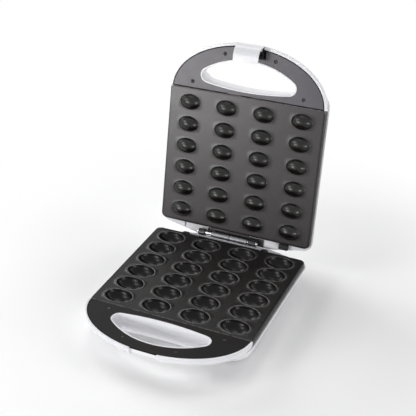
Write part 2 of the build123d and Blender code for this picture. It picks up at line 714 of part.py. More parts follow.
def make_hinge_leaf():
    """The lid's hinge leaf with two barrels round the pin, drawn in the closed lid's place."""
    leaf = box(*LEAF_X, *LEAF_Y, LEAF_TOP - LEAF_T, LEAF_TOP)
    for x0, x1 in BARRELS:
        leaf += box(x0, x1, HINGE_Y - BARREL_NECK, HINGE_Y + BARREL_NECK, HINGE_Z, LEAF_TOP)
        leaf += hinge_bar(x0, x1, BARREL_R)
    leaf -= [post(x, y, 0, LEAF_TOP + 1, PASS_R) for x, y in LEAF_SCREWS]
    return leaf - hinge_bar(-BIG, BIG, PIN_R + PIN_CLEARANCE)


def make_leaf_screws():
    one = Rot(180, 0, 0) * screw(SHANK_R, 6.8, 2.4, 1.5)
    return Part() + [Pos(x, y, LEAF_TOP - LEAF_T) * one for x, y in LEAF_SCREWS]


def pivot_bar(x0, x1, r):
    """A round bar on the latch's axis, with the lid closed."""
    return bar_x(x0, x1, LATCH_PIVOT_Y, LATCH_PIVOT_Z, r)


def make_latch():
    """A strap that hangs from its pin, wraps under the base's ring and ends in a low lip."""
    strap = rectangle(LATCH_FRONT_Y, LATCH_BACK_Y, LATCH_BOTTOM, LATCH_TOP)
    strap = fillet(strap.vertices().sort_by(lambda v: v.X + v.Y)[0], LATCH_ROUND)
    hollow = rectangle(LATCH_FRONT_Y + LATCH_T, LATCH_BACK_Y - 2.0, LATCH_BOTTOM + LATCH_T, LATCH_TOP + 5)
    hollow = fillet(hollow.vertices().sort_by(lambda v: v.X + v.Y)[0], LATCH_ROUND - LATCH_T)
    strap -= hollow
    strap -= rectangle(LATCH_BACK_Y - 3, LATCH_BACK_Y + 1, LATCH_LIP_TOP, LATCH_TOP + 5)
    latch = side_prism(strap, -LATCH_HALF_W, LATCH_HALF_W)
    for side in (-1, 1):
        x0, x1 = sorted((side * LATCH_LUG[0], side * LATCH_LUG[1]))
        latch += pivot_bar(x0, x1, LATCH_LUG_R)
        latch += box(x0, x1, LATCH_FRONT_Y + 1, LATCH_PIVOT_Y, LATCH_PIVOT_Z - LATCH_LUG_R, LATCH_TOP)
    return latch - pivot_bar(-BIG, BIG, LATCH_PIN_R + PIN_CLEARANCE)


def make_latch_bracket():
    """A black pocket behind the latch, with two ears that hold its pin. Drawn in the lid's half frame."""
    y, z = LATCH_PIVOT_Y, -LATCH_PIVOT_Z
    back_y = POCKET_BACK_Y - 0.3
    inner_back_y = back_y - POCKET_WALL
    tray = box(-POCKET_HALF_W, POCKET_HALF_W, POCKET_FRONT_Y + 0.3, back_y, POCKET_FLOOR, POCKET_TOP)
    inner_w = POCKET_HALF_W - POCKET_WALL
    tray -= box(-inner_w, inner_w, FRONT_Y, inner_back_y, POCKET_FLOOR + POCKET_WALL, 5)
    for side in (-1, 1):
        x0, x1 = sorted((side * LATCH_EAR[0], side * LATCH_EAR[1]))
        tray += bar_x(x0, x1, y, z, LATCH_EAR_R)
        tray += box(x0, x1, y, inner_back_y + 0.5, z - 2.6, z + 2.6)
        tray += box(x0, x1, y + 4.7, inner_back_y + 0.5, POCKET_FLOOR + 0.5, z + 2.6)
    tray &= ring_body(WALL + 0.3)
    tray -= [post(x, POCKET_SCREW_Y, -20, 0, 1.4) for x in POCKET_SCREW_XS]
    return tray - bar_x(-BIG, BIG, y, z, LATCH_PIN_R + PIN_CLEARANCE)


def make_pocket_screws():
    one = screw(1.1, 3.0, 2.0, 1.1)
    return Part() + [Pos(x, POCKET_SCREW_Y, POCKET_FLOOR + POCKET_WALL) * one for x in POCKET_SCREW_XS]


def opened(part):
    """Turn a piece of the closed lid up to the open stop."""
    return Pos(0, HINGE_Y, HINGE_Z) * Rot(-OPEN_ANGLE, 0, 0) * Pos(0, -HINGE_Y, -HINGE_Z) * part


def lid_half(part):
    """A piece drawn with its housing below, turned over onto the base and then opened."""
    return opened(mirror(part, about=Plane.XY))


base_z = BASE.element_z
pieces = {
    "base_housing": make_base_housing(),
    "base_handle_cover": make_cover(BASE),
    "base_cover_screws": make_cover_screws(),
    "lower_plate": make_lower_plate(),
    "lower_heating_element": make_element(BASE),
    "lower_element_clamps": make_clamps(BASE),
    "lower_clamp_screws": make_clamp_screws(BASE),
    "lower_heat_reflector": make_reflector(BASE),
    "lower_reflector_screws": make_reflector_screws(BASE),
    "thermostat": make_thermostat(),
    "thermostat_bracket": make_thermostat_bracket(),
    "thermostat_screws": make_thermostat_screws(),
    "lower_thermal_fuse": make_fuse(base_z),
    "terminal_block": make_terminal_block(),
    "terminal_screws": make_terminal_screws(),
    "supply_leads": make_supply_leads(),
    "cord_gland": make_gland(),
    "rubber_feet": make_feet(),
    "feet_screws": make_feet_screws(),
    "base_hinge_bracket": make_base_bracket(),
    "hinge_bracket_screws": make_bracket_screws(),
    "hinge_pin": hinge_bar(*PIN_ENDS, PIN_R),
    "pin_clips": make_pin_clips(),
    "lid_housing": lid_half(make_lid_housing()),
    "lid_handle_cover": lid_half(make_cover(LID)),
    "lid_cover_screws": lid_half(make_cover_screws()),
    "upper_plate": lid_half(make_upper_plate()),
    "upper_heating_element": lid_half(make_element(LID)),
    "upper_element_clamps": lid_half(make_clamps(LID)),
    "upper_clamp_screws": lid_half(make_clamp_screws(LID)),
    "upper_heat_reflector": lid_half(make_reflector(LID)),
    "upper_reflector_screws": lid_half(make_reflector_screws(LID)),
    "upper_thermal_fuse": lid_half(make_fuse(LID_WIRE_Z)),
    "lid_leads": lid_half(make_lid_leads()),
    "wire_guide": lid_half(make_wire_guide()),
    "lid_hinge_leaf": opened(make_hinge_leaf()),
    "lid_hinge_screws": opened(make_leaf_screws()),
    "latch_bracket": lid_half(make_latch_bracket()),
    "latch_bracket_screws": lid_half(make_pocket_screws()),
    "latch_pin": opened(pivot_bar(-20.0, 20.0, LATCH_PIN_R)),
    "latch": opened(make_latch()),
}

# The row's frame: x = 0 on the middle line, y = 0 at the middle of the depth, z = 0 under the feet
boxes = [piece.bounding_box() for piece in pieces.values()]
middle_y = (min(b.min.Y for b in boxes) + max(b.max.Y for b in boxes)) / 2
to_row = Pos(0, -middle_y, FLOOR_DEPTH + FOOT_H)

os.makedirs("parts", exist_ok=True)
for name, piece in pieces.items():
    placed = to_row * piece
    solids = placed.solids()
    whole = solids[0] if len(solids) == 1 else Compound(children=list(solids))
    export_step(whole, f"parts/{name}.step")
    print(name, len(solids), round(placed.volume), placed.bounding_box())
print("middle_y", middle_y)
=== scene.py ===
# %% [markdown]
# Electric nut cookie maker, dressed for a studio picture.
# The solids come packed from the construction model, already in place and in metres.
# This script gives them fine surfaces, finishes, light and a camera.

# %% Load the frame
import json
import math

import bmesh
import bpy
import numpy as np
from mathutils import Matrix, Vector


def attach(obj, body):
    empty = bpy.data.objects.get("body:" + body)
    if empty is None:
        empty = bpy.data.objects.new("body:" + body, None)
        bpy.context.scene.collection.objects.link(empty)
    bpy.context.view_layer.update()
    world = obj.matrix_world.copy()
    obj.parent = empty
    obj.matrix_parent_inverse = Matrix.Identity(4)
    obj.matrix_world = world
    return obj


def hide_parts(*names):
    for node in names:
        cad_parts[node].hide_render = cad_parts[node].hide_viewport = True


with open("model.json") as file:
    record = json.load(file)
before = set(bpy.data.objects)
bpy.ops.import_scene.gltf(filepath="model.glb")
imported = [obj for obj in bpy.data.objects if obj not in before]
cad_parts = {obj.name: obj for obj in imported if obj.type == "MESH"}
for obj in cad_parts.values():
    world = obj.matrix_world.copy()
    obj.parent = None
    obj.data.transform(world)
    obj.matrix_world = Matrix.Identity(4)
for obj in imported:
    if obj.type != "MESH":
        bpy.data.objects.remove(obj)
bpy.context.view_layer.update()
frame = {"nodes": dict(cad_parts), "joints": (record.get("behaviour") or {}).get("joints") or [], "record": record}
print("solids:", len(frame["nodes"]))

# %% [markdown]
# The cooker is two halves that meet in a plane, joined by a rear hinge.
# The open lid leans back, so its sizes would be hard to read where it stands.
# So both halves are drawn the same way: plate up, housing below, the plate's back edge at y = 0
# and the meeting plane at z = 0. They share the hinge, so its joint in the frame tells
# where that drawing space lies, and how far the lid stands open.

# %% Drawing space of a half
MM = 0.001
HINGE_BACK = 10.3 * MM
HINGE_UP = 1.4 * MM
lid_joint = next(joint for joint in frame["joints"] if joint["name"] == "lid_hinge")
HINGE = np.array(lid_joint["pos_m"])
OPEN_ANGLE = math.radians(lid_joint["range_deg"][1])
ORIGIN = HINGE - np.array([0, HINGE_BACK, HINGE_UP])


def in_base(points):
    """Points of the base's drawing space, moved to where the base stands."""
    return points + ORIGIN


def in_lid(points):
    """Points of the lid's drawing space, turned over onto the base and then opened about the hinge.

    Opening by an angle a turns y into y cos a + z sin a, and z into z cos a - y sin a."""
    turned = points * np.array([1, 1, -1]) + ORIGIN - HINGE
    c, s = math.cos(OPEN_ANGLE), math.sin(OPEN_ANGLE)
    y = turned[:, 1] * c + turned[:, 2] * s
    z = turned[:, 2] * c - turned[:, 1] * s
    return np.column_stack([turned[:, 0], y, z]) + HINGE


print("drawing origin", ORIGIN.round(4), "lid open by", lid_joint["range_deg"][1], "degrees")

# %% [markdown]
# A computed surface is a stack of closed rings of points: one parameter runs round a ring,
# and the other from ring to ring. Its faces could be filled one by one,
# but here they follow from counting, so a few lines make a surface as fine as one likes.

# %% Faces between rings


def grid_faces(rows, columns):
    """Four-sided faces of a stack of rings: point c of ring r, its neighbour, and the same two a ring on."""
    r, c = np.meshgrid(np.arange(rows - 1), np.arange(columns), indexing="ij")
    a = r * columns + c
    b = r * columns + (c + 1) % columns
    return np.stack([a, b, b + columns, a + columns], axis=-1).reshape(-1, 4)


print("faces between three rings of four points:", len(grid_faces(3, 4)))

# %% [markdown]
# A grid here is its points, its faces and its marks. The marks are two numbers a point:
# how far it belongs to a nut form, and how far to an edge that use rubs. The finishes paint by them too:
# the form mark darker as painted shade, the edge mark paler as wear and painted highlight on the plates,
# and darker as painted shade on the covers' rolled edges. They stay on the mesh,
# so that a finish can tell these places apart. Masks painted by hand would do too,
# but marks follow the shape when its sizes change.

# %% Grids become meshes
WELD = 0.03 * MM
MARK_NAMES = ("form", "edge")


def ring_marks(marks, count):
    """One pair of marks a ring, given to each of its points."""
    return np.repeat(np.array(marks, dtype=float), count, axis=0)


def join_grids(grids):
    """Several grids as one: the faces of each count on from the points before it."""
    counts = np.cumsum([0] + [len(points) for points, _, _ in grids])
    points = np.concatenate([grid[0] for grid in grids])
    faces = np.concatenate([grid[1] + first for grid, first in zip(grids, counts)])
    marks = np.concatenate([grid[2] for grid in grids])
    return points, faces, marks


def mesh_piece(name, points, faces, marks=None):
    """A smooth mesh object from points and faces, with touching points welded and normals outwards."""
    mesh = bpy.data.meshes.new(name)
    mesh.from_pydata(points.tolist(), [], faces.tolist())
    if marks is not None:
        for column, mark in enumerate(MARK_NAMES):
            values = mesh.attributes.new(mark, "FLOAT", "POINT")
            values.data.foreach_set("value", np.ascontiguousarray(marks[:, column], dtype=np.float32))
    work = bmesh.new()
    work.from_mesh(mesh)
    bmesh.ops.remove_doubles(work, verts=work.verts, dist=WELD)
    bmesh.ops.recalc_face_normals(work, faces=work.faces)
    work.to_mesh(mesh)
    work.free()
    piece = bpy.data.objects.new(name, mesh)
    bpy.context.collection.objects.link(piece)
    mesh.shade_smooth()
    return piece


print("marks on each mesh:", MARK_NAMES)

# %% [markdown]
# The two plates are aluminium castings with twenty-four nut forms each, in six rows of four.
# One way to make them is to cut and join solids, but glossy castings need an even, smooth mesh.
# So each nut form gets a tile of its own: rings of points that spread from the form's middle
# to its edge, and on to the tile's straight sides. The tiles meet edge to edge.

# %% Sizes of the plates
PLATE_W = 256 * MM
PLATE_D = 221 * MM
PLATE_MIDDLE = -PLATE_D / 2
FACE_DROP = 0.6 * MM
COLUMNS = 4
ROWS = 6
PITCH = np.array([61.8, 35.4]) * MM
TILE_HALF = PITCH / 2
print("plate", PLATE_W / MM, "by", PLATE_D / MM, "mm, tiles", PITCH / MM, "mm")

# %% [markdown]
# A nut form is a slice of an egg: an ellipse turned about its long axis, cut by the plate's face.
# Half of a flattened ball would have the same outline, but walls that stand upright at the rim.
# The slice keeps the real slope there, and one formula serves the cavities and the smaller domes.

# %% Depth of the nut form
CAVITY = (21.5 * MM, 15.2 * MM, 13.0 * MM)


def nut_depth(x, y, half_l, half_w, height):
    """Depth below the face: sqrt(rho^2 - y^2) - sink, where rho^2 = radius^2 (1 - (x / length)^2).

    The egg's axis lies sink beyond the face; radius and length are the whole egg's half axes."""
    sink = (half_w**2 - height**2) / (2 * height)
    radius = height + sink
    length = half_l / math.sqrt(1 - (sink / radius) ** 2)
    rho_squared = radius**2 * (1 - (x / length) ** 2)
    return np.sqrt(np.maximum(rho_squared - y**2, 0)) - sink


print("cavity depth in the middle", round(float(nut_depth(0, 0, *CAVITY)) / MM, 2), "mm")

# %% [markdown]
# Spokes run from the middle of a nut form to the sides of its tile. Spaced evenly all round,
# they would miss the tile's corners, and neighbouring tiles would not match.
# So the corners get their spokes first, and the others are spread between them.

# %% Angles of a tile's spokes
SIDE_POINTS = 15


def spoke_angles(outer):
    """Angles t of an ellipse x = outer_l cos t, y = outer_w sin t, in even steps from corner to corner."""
    corner = math.atan2(TILE_HALF[1] * outer[0], TILE_HALF[0] * outer[1])
    stops = [-corner, corner, math.pi - corner, math.pi + corner, 2 * math.pi - corner]
    sides = [np.linspace(a, b, SIDE_POINTS, endpoint=False) for a, b in zip(stops, stops[1:])]
    return np.concatenate(sides)


print("spokes of a tile:", len(spoke_angles(TILE_HALF)))

# %% [markdown]
# Inside the form, each ring is a smaller copy of its outline, and the last ring is the tile's own rectangle.
# Those between them carry the raised lip of a cavity, or the small fillet at the foot of a dome.
# The lip catches the thin bright lines seen on the real plates, helped by a paler colour that the edge mark paints
# as wear and painted highlight. The form mark paints the fillet dark as shade.
# A bevel could round those edges too, but rings put the points exactly where the light turns.

# %% One tile of a plate
TINY = 1e-9
FLAT_SHARE = 0.45
FIRST_SHARE = 0.0005


def form_rings(form, sign, steps, outer):
    """Rings of a nut form from its middle out: shares sin t of its outline, which crowd at the edge."""
    half_l, half_w, _ = form
    angles = spoke_angles(outer)
    rings = []
    for share in np.maximum(np.sin(np.linspace(0.0, math.pi / 2, steps)), FIRST_SHARE):
        x = half_l * share * np.cos(angles)
        y = half_w * share * np.sin(angles)
        rings.append((half_l * share, half_w * share, sign * nut_depth(x, y, *form)))
    return rings


def tile(inner_rings, lip_rings, outer):
    """A grid about one nut form: ellipses x = half_l cos t, y = half_w sin t, and then the rectangle.

    An inner ring is (half_l, half_w, z) and belongs to the form. A lip ring adds its own two marks."""
    angles = spoke_angles(outer)
    c, s = np.cos(angles), np.sin(angles)
    rings, marks = [], []
    for half_l, half_w, z, *mark in inner_rings + lip_rings:
        rings.append(np.column_stack([half_l * c, half_w * s, np.broadcast_to(z, c.shape)]))
        marks.append(mark or (1, 0))
    reach_x = TILE_HALF[0] / np.maximum(np.abs(outer[0] * c), TINY)
    reach_y = TILE_HALF[1] / np.maximum(np.abs(outer[1] * s), TINY)
    reach = np.minimum(reach_x, reach_y)
    edge = np.column_stack([outer[0] * c * reach, outer[1] * s * reach, np.zeros_like(c)])
    rings += [rings[-1] + (edge - rings[-1]) * FLAT_SHARE, edge]
    marks += [(0, 0), (0, 0)]
    return np.concatenate(rings), grid_faces(len(rings), len(angles)), ring_marks(marks, len(angles))


print("points of a bare tile:", len(tile([], [(*TILE_HALF, 0)], TILE_HALF)[0]))

# %% [markdown]
# Past the tiles each plate has a narrow border and a skirt that folds down round it.
# A bevelled box would not meet the tiles point for point, so border and skirt start
# from the tiles' own outer points, moved onto a rectangle with round corners.

# %% The edge of a plate
BACK_CORNER_R = 9 * MM
FRONT_CORNER_R = 3 * MM
LEAST_CORNER_R = 0.3 * MM


def edge_loop(outer):
    """The outer points of all the tiles, once round the plate, where spokes end on its straight sides."""
    angles = spoke_angles(outer)
    c, s = outer[0] * np.cos(angles), outer[1] * np.sin(angles)
    right_y = (TILE_HALF[0] / c * s)[:SIDE_POINTS]
    top_x = (TILE_HALF[1] / s * c)[SIDE_POINTS : 2 * SIDE_POINTS]
    half = TILE_HALF * np.array([COLUMNS, ROWS])
    ys = np.concatenate([right_y + (row - (ROWS - 1) / 2) * PITCH[1] for row in range(ROWS)])
    xs = np.concatenate([top_x + ((COLUMNS - 1) / 2 - column) * PITCH[0] for column in range(COLUMNS)])
    x = np.concatenate([np.full_like(ys, half[0]), xs, np.full_like(ys, -half[0]), -xs])
    y = np.concatenate([ys, np.full_like(xs, half[1]), -ys, np.full_like(xs, -half[1])])
    return x, y


def rounded(x, y, inset):
    """An edge loop stretched to the plate's sides less inset, its corners pulled onto circles of radius r."""
    half_w, half_d = PLATE_W / 2 - inset, PLATE_D / 2 - inset
    x = x * half_w / np.abs(x).max()
    y = y * half_d / np.abs(y).max()
    r = np.maximum(np.where(y > 0, BACK_CORNER_R, FRONT_CORNER_R) - inset, LEAST_CORNER_R)
    from_x = np.abs(x) - (half_w - r)
    from_y = np.abs(y) - (half_d - r)
    corner = (from_x > 0) & (from_y > 0)
    far = np.maximum(np.hypot(from_x, from_y), TINY)
    new_x = np.where(corner, np.sign(x) * (half_w - r + from_x / far * r), x)
    new_y = np.where(corner, np.sign(y) * (half_d - r + from_y / far * r), y)
    return new_x, new_y


print("points round a plate:", len(edge_loop(TILE_HALF)[0]))

# %% [markdown]
# The skirt is the plate's edge loop carried down a short profile: over the rounded top edge,
# straight down, and a little way in underneath. The front edge, which hands reach, is rubbed palest,
# and that paleness is also a painted highlight along the rounded top edge. The other sides carry the form mark,
# so they take the nut forms' darker colour, painted there as shade for a dark line round the plate.

# %% The skirt of a plate
ARC_POINTS = 5
SKIRT_DEPTH = 8.4 * MM
TOP_EDGE_R = 1.4 * MM
FOOT_EDGE_R = 0.4 * MM
FOOT_EDGE_SHARE = 0.3
FRONT_SHARE = 0.97
SIDE_WEAR_AND_HIGHLIGHT = 0.15


def skirt(outer):
    """The border and skirt: the edge loop carried along a profile of inset, height, and wear with painted
    highlight.

    On the top edge the inset is r (1 - sin a) and the height r (cos a - 1)."""
    x, y = edge_loop(outer)
    arc = np.linspace(0, math.pi / 2, ARC_POINTS)
    profile = [(TOP_EDGE_R * (1 - math.sin(a)), TOP_EDGE_R * (math.cos(a) - 1), math.sin(2 * a)) for a in arc]
    for inset, rise, wear_and_highlight in ((0.0, 1.0, 0.3), (FOOT_EDGE_SHARE, FOOT_EDGE_SHARE, 0.8), (1.0, 0.0, 0.3)):
        profile.append((inset * FOOT_EDGE_R, rise * FOOT_EDGE_R - SKIRT_DEPTH, wear_and_highlight))
    rings = [np.column_stack([x, y, np.zeros_like(x)])]
    marks = [(0, 0)]
    for inset, z, wear_and_highlight in profile:
        rings.append(np.column_stack([*rounded(x, y, inset), np.full_like(x, z)]))
        marks.append((0, wear_and_highlight))
    points, marks = np.concatenate(rings), ring_marks(marks, len(x))
    # The sides take the form mark, painted darker as shade; off the front, the painted wear and highlight are
    # weaker.
    at_front = points[:, 1] < FRONT_SHARE * points[:, 1].min()
    marks[len(x) :, 0] = np.where(at_front, 0.0, 1.0)[len(x) :]
    marks[:, 1] *= np.where(at_front, 1.0, SIDE_WEAR_AND_HIGHLIGHT)
    return points, grid_faces(len(rings), len(x)), marks


print("points of a skirt:", len(skirt(TILE_HALF)[0]))

# %% [markdown]
# Twenty-four copies of one tile and a skirt make a plate. They could stay separate objects,
# but welded into one surface they shade without seams, and one modifier gives the casting its wall.

# %% Lay the tiles out as a plate
CASTING_WALL = 2.0 * MM


def plate_piece(name, tile_grid, outer, place):
    """Tiles moved by whole steps of the pitch, and a skirt, welded and thickened downwards."""
    points, faces, marks = tile_grid
    grids = []
    for row in range(ROWS):
        for column in range(COLUMNS):
            steps = np.array([column - (COLUMNS - 1) / 2, row - (ROWS - 1) / 2])
            grids.append((points + np.append(steps * PITCH, 0), faces, marks))
    grids.append(skirt(outer))
    points, faces, marks = join_grids(grids)
    points = points + np.array([0, PLATE_MIDDLE, -FACE_DROP])
    piece = mesh_piece(name, place(points), faces, marks)
    wall = piece.modifiers.new("casting_wall", "SOLIDIFY")
    wall.thickness = CASTING_WALL
    wall.offset = -1
    return piece


print("wall of the castings", CASTING_WALL / MM, "mm")

# %% [markdown]
# On the lower plate each cavity is ringed by a low flat rim. Its inner and outer edges are both rounded,
# and each draws a thin light line in the picture, also painted on as a paler tone: wear and a painted highlight.
# The rim is a few rings sized as shares of the cavity and of the rim's outline, so it keeps its form if those
# sizes change.

# %% The lower plate
RIM_HALF = np.array([24.2, 17.45]) * MM
RIM_H = 0.5 * MM
half_l, half_w, _ = CAVITY
rim_l, rim_w = RIM_HALF
cavity_rings = form_rings(CAVITY, sign=-1, steps=11, outer=RIM_HALF)
# The edge marks paint the rim's edges paler: wear and a painted highlight for its thin light lines.
# Half length, half width, height, mark of the form, mark of the edge
lip_rings = [
    (half_l * 1.008, half_w * 1.010, 0.28 * MM, 0.7, 0.6),
    (half_l * 1.022, half_w * 1.028, 0.44 * MM, 0.3, 1.0),
    (half_l * 1.040, half_w * 1.050, RIM_H, 0.0, 0.5),
    (rim_l * 0.972, rim_w * 0.965, RIM_H, 0.0, 0.1),
    (rim_l * 0.986, rim_w * 0.982, 0.40 * MM, 0.0, 0.9),
    (rim_l * 0.996, rim_w * 0.994, 0.10 * MM, 0.0, 0.5),
    (rim_l, rim_w, 0.0, 0.0, 0.0),
]
lower_tile = tile(cavity_rings, lip_rings, RIM_HALF)
lower_skin = plate_piece("lower_plate_casting", lower_tile, RIM_HALF, in_base)
print("lower plate", len(lower_skin.data.polygons), "faces")

# %% [markdown]
# The upper plate's domes are smaller than the cavities, which leaves room for the dough.
# A small fillet joins each dome to the face. It counts as part of the form, so it keeps the dome's finish, whose
# darker colour is painted shade and draws a dark line round the dome's foot.

# %% The upper plate
DOME = (16.9 * MM, 11.9 * MM, 8.5 * MM)
FILLET = 0.5 * MM
half_l, half_w, _ = DOME
DOME_FOOT = np.array([half_l, half_w]) + FILLET
dome_rings = form_rings(DOME, sign=1, steps=12, outer=DOME_FOOT)[:-1]
# Growth and height in millimetres, and the mark of the form
fillet_rows = [(0.04, 0.36, 1.0), (0.14, 0.14, 1.0), (0.28, 0.04, 1.0), (FILLET / MM, 0.0, 0.6)]
foot_rings = [(half_l + grow * MM, half_w + grow * MM, z * MM, form, 0.0) for grow, z, form in fillet_rows]
upper_tile = tile(dome_rings, foot_rings, DOME_FOOT)
upper_skin = plate_piece("upper_plate_casting", upper_tile, DOME_FOOT, in_lid)
print("upper plate", len(upper_skin.data.polygons), "faces")

# %% [markdown]
# Small lugs are cast on the plates: two round-ended tabs and a long step along their back edges,
# and a tongue along the front, which the dark cover holds down. Bevelled boxes would not do,
# because a tab's upright corners are much rounder than its rims. So each is a stack of rounded outlines,
# drawn in at the bottom and the top, with the first and last shrunk to a point to close the surface.

# %% A block with rounded rims
QUARTER_POINTS = 6
RIM_POINTS = 4
LEAST_BLOCK_R = 0.05 * MM
POINT_SHARE = 1e-4
BLOCK_WEAR = 0.15


def outline_of_block(low, high, corner, inset):
    """Once round a rectangle taken in by inset: quarter circles joined by straight runs."""
    r = max(corner - inset, LEAST_BLOCK_R)
    half = (high[:2] - low[:2]) / 2 - inset - r
    quarter = np.linspace(0, math.pi / 2, QUARTER_POINTS)
    angles = np.concatenate([quarter + turn * math.pi / 2 for turn in range(4)])
    signs = np.repeat(np.array([[1, 1], [-1, 1], [-1, -1], [1, -1]]), QUARTER_POINTS, axis=0)
    return signs * half + r * np.column_stack([np.cos(angles), np.sin(angles)])


def rounded_block(low, high, corner, edge):
    """Outlines carried up from low to high: a rim's inset is edge (1 - sin a), its rise edge (1 - cos a)."""
    low, high = np.array(low) * MM, np.array(high) * MM
    arc = np.linspace(0, math.pi / 2, RIM_POINTS)
    profile = [(edge * (1 - math.sin(a)), low[2] + edge * (1 - math.cos(a))) for a in arc]
    profile += [(edge * (1 - math.cos(a)), high[2] - edge * (1 - math.sin(a))) for a in arc]
    outlines = [outline_of_block(low, high, corner, inset) for inset, _ in profile]
    count = len(outlines[0])
    rings = [np.column_stack([outline, np.full(count, z)]) for outline, (_, z) in zip(outlines, profile)]
    to_point = np.array([POINT_SHARE, POINT_SHARE, 1])
    rings = [rings[0] * to_point, *rings, rings[-1] * to_point]
    points = np.concatenate(rings) + np.append((low + high)[:2] / 2, 0)
    return points, grid_faces(len(rings), count), ring_marks([(0, BLOCK_WEAR)] * len(rings), count)


print("points round a block:", 4 * QUARTER_POINTS)

# %% Cast lugs
TONGUE = ((-84, -225.2, -5.6), (84, -219, -3.6), 0.6 * MM, 0.4 * MM)
STEP = ((-40, -1.5, -4.6), (27, 3.2, -2.2), 0.8 * MM, 0.5 * MM)
TAB_PLACES = (-78.0, 58.5)
TAB_HALF = 6
TABS = [((x - TAB_HALF, -1.5, -5.2), (x + TAB_HALF, 5.5, -1.4), 4 * MM, 0.6 * MM) for x in TAB_PLACES]


def lugs(name, blocks, place):
    """Several rounded blocks as one piece."""
    points, faces, marks = join_grids([rounded_block(*block) for block in blocks])
    return mesh_piece(name, place(points), faces, marks)


lower_lugs = lugs("lower_plate_lugs", TABS + [TONGUE], in_base)
upper_lugs = lugs("upper_plate_lugs", [STEP, TONGUE], in_lid)
print("lugs", len(lower_lugs.data.polygons), "and", len(upper_lugs.data.polygons), "faces")

# %% [markdown]
# The housings, covers, latch and hinge keep the shapes of their solids.
# A solid arrives as loose flat triangles, which would show as facets on glossy plastic.
# Drawing these pieces anew would give a second, slightly different shape.
# So each visible one gets a welded copy, shaded smooth up to a set angle,
# and a small bevel breaks its sharp edges as moulding and pressing do.

# %% A finished copy of a solid
SOLID_WELD = 0.002 * MM
FLAT = math.radians(0.6)
SHARP = math.radians(32)
ROUNDING_STEPS = 2


def finished(node, bevel):
    """A welded, smooth-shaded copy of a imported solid, with its sharp edges rounded by bevel."""
    mesh = frame["nodes"][node].data.copy()
    mesh.name = node + "_finished"
    work = bmesh.new()
    work.from_mesh(mesh)
    bmesh.ops.remove_doubles(work, verts=work.verts, dist=SOLID_WELD)
    bmesh.ops.dissolve_degenerate(work, edges=work.edges, dist=SOLID_WELD)
    if bevel:
        bmesh.ops.dissolve_limit(work, verts=work.verts, edges=work.edges, angle_limit=FLAT)
    work.to_mesh(mesh)
    work.free()
    mesh.materials.clear()
    piece = bpy.data.objects.new(node + "_finished", mesh)
    bpy.context.collection.objects.link(piece)
    mesh.shade_smooth()
    mesh.set_sharp_from_angle(angle=SHARP)
    if bevel:
        rounding = piece.modifiers.new("rounded_edges", "BEVEL")
        rounding.width = bevel
        rounding.segments = ROUNDING_STEPS
        rounding.limit_method = "ANGLE"
        rounding.angle_limit = SHARP
    even = piece.modifiers.new("even_shading", "WEIGHTED_NORMAL")
    even.keep_sharp = True
    return piece


print("edges past", round(math.degrees(SHARP)), "degrees stay sharp")

# %% [markdown]
# The finger hole of each ring is a lens: two long arcs that meet in small round tips.
# Its outline could be put together from arcs end to end, but then its points would bunch at the tips.
# Seen from a point inside it, each direction meets the outline once,
# so the outline is worked out by casting rays, evenly all round.

# %% Outline of a finger hole
HOLE_BACK_R = 420 * MM
HOLE_TIP_R = 12 * MM
# Front of the hole, radius of its front arc, back of the hole
HOLES = {"base": (-282.2 * MM, 116 * MM, -229.8 * MM), "lid": (-277.5 * MM, 133 * MM, -228 * MM)}
HOLE_EYE = np.array([0, -246 * MM])
HOLE_POINTS = 220


def ray_to_circle(ways, centre, radius):
    """How far from the eye each ray leaves a circle: along + sqrt(radius^2 - across^2)."""
    to_centre = centre - HOLE_EYE
    along = ways @ to_centre
    across_squared = to_centre @ to_centre - along**2
    return along + np.sqrt(np.maximum(radius**2 - across_squared, 0))


def hole_outline(half, grow):
    """The lens outline, grown outwards: the nearer of two arcs, or a tip circle between its touching points.

    The tip's centre lies a tip radius inside both arcs, where two smaller circles cross."""
    front_y, front_r, back_y = HOLES[half]
    front = np.array([0, front_y + front_r])
    back = np.array([0, back_y - HOLE_BACK_R])
    inner_front, inner_back = front_r - HOLE_TIP_R, HOLE_BACK_R - HOLE_TIP_R
    tip_y = (inner_back**2 - inner_front**2 + front[1] ** 2 - back[1] ** 2) / (2 * (front[1] - back[1]))
    tip = np.array([math.sqrt(inner_front**2 - (tip_y - front[1]) ** 2), tip_y])
    angles = np.linspace(0, 2 * math.pi, HOLE_POINTS, endpoint=False)
    ways = np.column_stack([np.cos(angles), np.sin(angles)])
    mirrored = np.column_stack([np.abs(ways[:, 0]), ways[:, 1]])
    to_front = ray_to_circle(ways, front, front_r + grow)
    to_back = ray_to_circle(ways, back, HOLE_BACK_R + grow)
    to_tip = ray_to_circle(mirrored, tip, HOLE_TIP_R + grow)
    outwards = [(tip - centre) / np.hypot(*(tip - centre)) for centre in (front, back)]
    touch = [tip + way * (HOLE_TIP_R + grow) - HOLE_EYE for way in outwards]
    from_angle, to_angle = (math.atan2(y, x) for x, y in touch)
    turn = np.arctan2(mirrored[:, 1], mirrored[:, 0])
    reach = np.where((turn > from_angle) & (turn < to_angle), to_tip, np.minimum(to_front, to_back))
    return HOLE_EYE + ways * reach[:, None]


print("finger hole of the base", round(np.ptp(hole_outline("base", 0.0)[:, 0]) / MM, 1), "mm wide")

# %% [markdown]
# The hole is lined by a smooth white wall with a rounded lip, the brightest line in the picture.
# A wide bevel on the solid would be as uneven as its triangles, so the wall is a surface of its own:
# the hole's outline carried round a closed profile of growth and height.

# %% Walls of the finger holes


def round_stretch(middle, radii, start, stop):
    """Points of a profile's round stretch: middle + (radius_1 cos t, radius_2 sin t), with t in degrees."""
    t = np.radians(np.linspace(start, stop, ARC_POINTS))
    return list(zip(middle[0] + radii[0] * np.cos(t), middle[1] + radii[1] * np.sin(t)))


